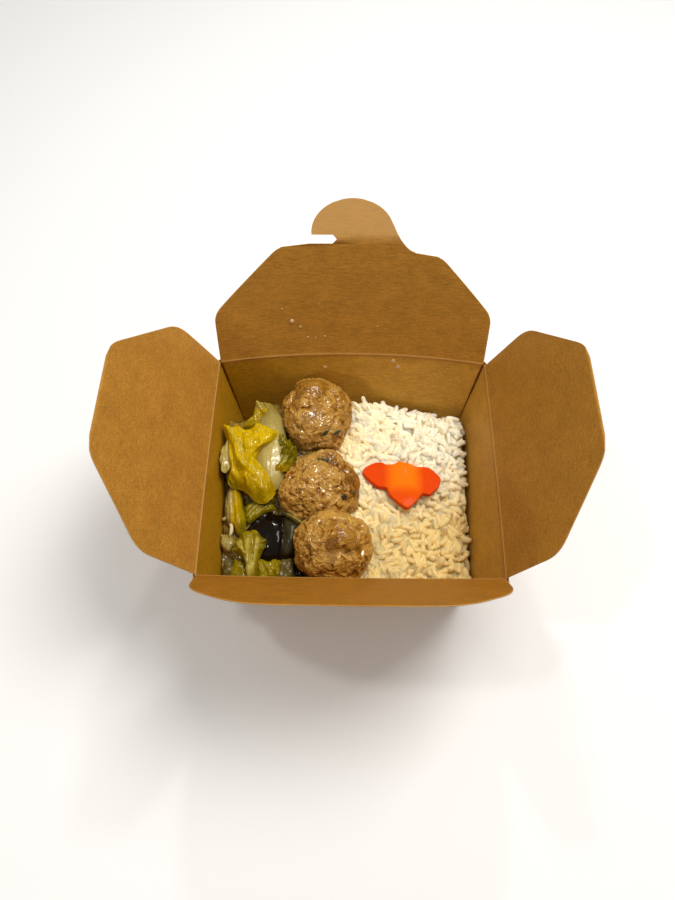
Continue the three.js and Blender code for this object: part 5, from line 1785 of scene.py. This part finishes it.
class FOODBOX_PG_greens(bpy.types.PropertyGroup):
    """Settings of the cabbage, the wood ear and their sauce."""
    stem_colour: colour_property("Stem colour", "Colour of the pale stems", (0.38, 0.3, 0.085))
    leaf_colour: colour_property("Leaf colour", "Colour of the yellow leaves", (0.5, 0.31, 0.0))
    bright_colour: colour_property("Bright colour", "Colour of the brightest leaf parts", (0.64, 0.43, 0.0))
    green_colour: colour_property("Green colour", "Colour of the greener parts", (0.235, 0.18, 0.001))
    clear_colour: colour_property("Clear colour", "Colour of the soaked clear scraps", (0.11, 0.085, 0.02))
    sauce_colour: colour_property("Sauce colour", "Colour of the sauce over the bed", (0.24, 0.15, 0.02))
    colour: colour_property("Wood ear colour", "Colour of the fungus", (0.006, 0.003, 0.001))
    # Painted sheen on the wood ear's right lobe.
    lobe_sheen_colour: colour_property("Bloom colour", "Colour of its dull lobe", (0.036, 0.029, 0.01))


class FOODBOX_PG_carrot(bpy.types.PropertyGroup):
    """Settings of the carrot slice."""
    colour: colour_property("Carrot colour", "Colour of the side lobes", (0.72, 0.055, 0.0))
    core_colour: colour_property("Core colour", "Colour of the middle band", (0.86, 0.18, 0.0))


class FOODBOX_PG_stage(bpy.types.PropertyGroup):
    """Settings of the stage."""
    floor_colour: colour_property("Floor colour", "Colour of the floor", (0.92, 0.92, 0.92))
    key_power: FloatProperty(name="Key light", description="Power of the main light", default=6.2, min=0.0,
                             unit="POWER")
    glint_power: FloatProperty(name="Glint lamps", description="Power of each small lamp that makes glints",
                               default=0.75, min=0.0, unit="POWER")
    sky_strength: FloatProperty(name="Surroundings", description="Brightness of the plain surroundings",
                                default=0.36, min=0.0)


class FOODBOX_OT_box(bpy.types.Operator):
    """Build the card box with its four flaps"""
    bl_idname = "foodbox.box"
    bl_label = "Card box"

    def execute(self, context):
        make_box(context.scene.foodbox_box)
        return {"FINISHED"}


class FOODBOX_OT_rice(bpy.types.Operator):
    """Build the rice"""
    bl_idname = "foodbox.rice"
    bl_label = "Rice"

    def execute(self, context):
        make_rice(context.scene.foodbox_rice)
        return {"FINISHED"}


class FOODBOX_OT_meatballs(bpy.types.Operator):
    """Build the meatballs"""
    bl_idname = "foodbox.meatballs"
    bl_label = "Meatballs"

    def execute(self, context):
        make_meatballs(context.scene.foodbox_meat)
        return {"FINISHED"}


class FOODBOX_OT_cabbage(bpy.types.Operator):
    """Build the braised cabbage"""
    bl_idname = "foodbox.cabbage"
    bl_label = "Cabbage"

    def execute(self, context):
        make_cabbage(context.scene.foodbox_greens)
        return {"FINISHED"}


class FOODBOX_OT_wood_ear(bpy.types.Operator):
    """Build the wood ear"""
    bl_idname = "foodbox.wood_ear"
    bl_label = "Wood ear"

    def execute(self, context):
        make_wood_ear(context.scene.foodbox_greens)
        return {"FINISHED"}


class FOODBOX_OT_carrot(bpy.types.Operator):
    """Build the carrot slice"""
    bl_idname = "foodbox.carrot"
    bl_label = "Carrot slice"

    def execute(self, context):
        make_carrot(context.scene.foodbox_carrot)
        return {"FINISHED"}


class FOODBOX_OT_stage(bpy.types.Operator):
    """Build the floor, the lights and the camera"""
    bl_idname = "foodbox.stage"
    bl_label = "Stage"

    def execute(self, context):
        make_stage(context.scene.foodbox_stage)
        return {"FINISHED"}


class FOODBOX_PT_panel(bpy.types.Panel):
    """Lists what can be built"""
    bl_idname = "FOODBOX_PT_panel"
    bl_label = "Food box"
    bl_space_type = "VIEW_3D"
    bl_region_type = "UI"
    bl_category = "Food box"

    def draw(self, context):
        for operator in OPERATORS:
            self.layout.operator(operator.bl_idname)


SETTINGS = {
    "foodbox_box": FOODBOX_PG_box,
    "foodbox_rice": FOODBOX_PG_rice,
    "foodbox_meat": FOODBOX_PG_meat,
    "foodbox_greens": FOODBOX_PG_greens,
    "foodbox_carrot": FOODBOX_PG_carrot,
    "foodbox_stage": FOODBOX_PG_stage,
}
OPERATORS = (
    FOODBOX_OT_box, FOODBOX_OT_rice, FOODBOX_OT_meatballs, FOODBOX_OT_cabbage, FOODBOX_OT_wood_ear,
    FOODBOX_OT_carrot, FOODBOX_OT_stage,
)


def register():
    for name, group in SETTINGS.items():
        bpy.utils.register_class(group)
        setattr(bpy.types.Scene, name, PointerProperty(type=group))
    for operator in OPERATORS:
        bpy.utils.register_class(operator)
    bpy.utils.register_class(FOODBOX_PT_panel)


def unregister():
    bpy.utils.unregister_class(FOODBOX_PT_panel)
    for operator in reversed(OPERATORS):
        bpy.utils.unregister_class(operator)
    for name, group in reversed(list(SETTINGS.items())):
        delattr(bpy.types.Scene, name)
        bpy.utils.unregister_class(group)


def main():
    register()
    make_card_fibre_group()
    make_wet_group()
    bpy.ops.foodbox.box()
    bpy.ops.foodbox.rice()
    bpy.ops.foodbox.meatballs()
    bpy.ops.foodbox.cabbage()
    bpy.ops.foodbox.wood_ear()
    bpy.ops.foodbox.carrot()
    bpy.ops.foodbox.stage()
    bpy.context.view_layer.update()


if __name__ == "__main__":
    main()
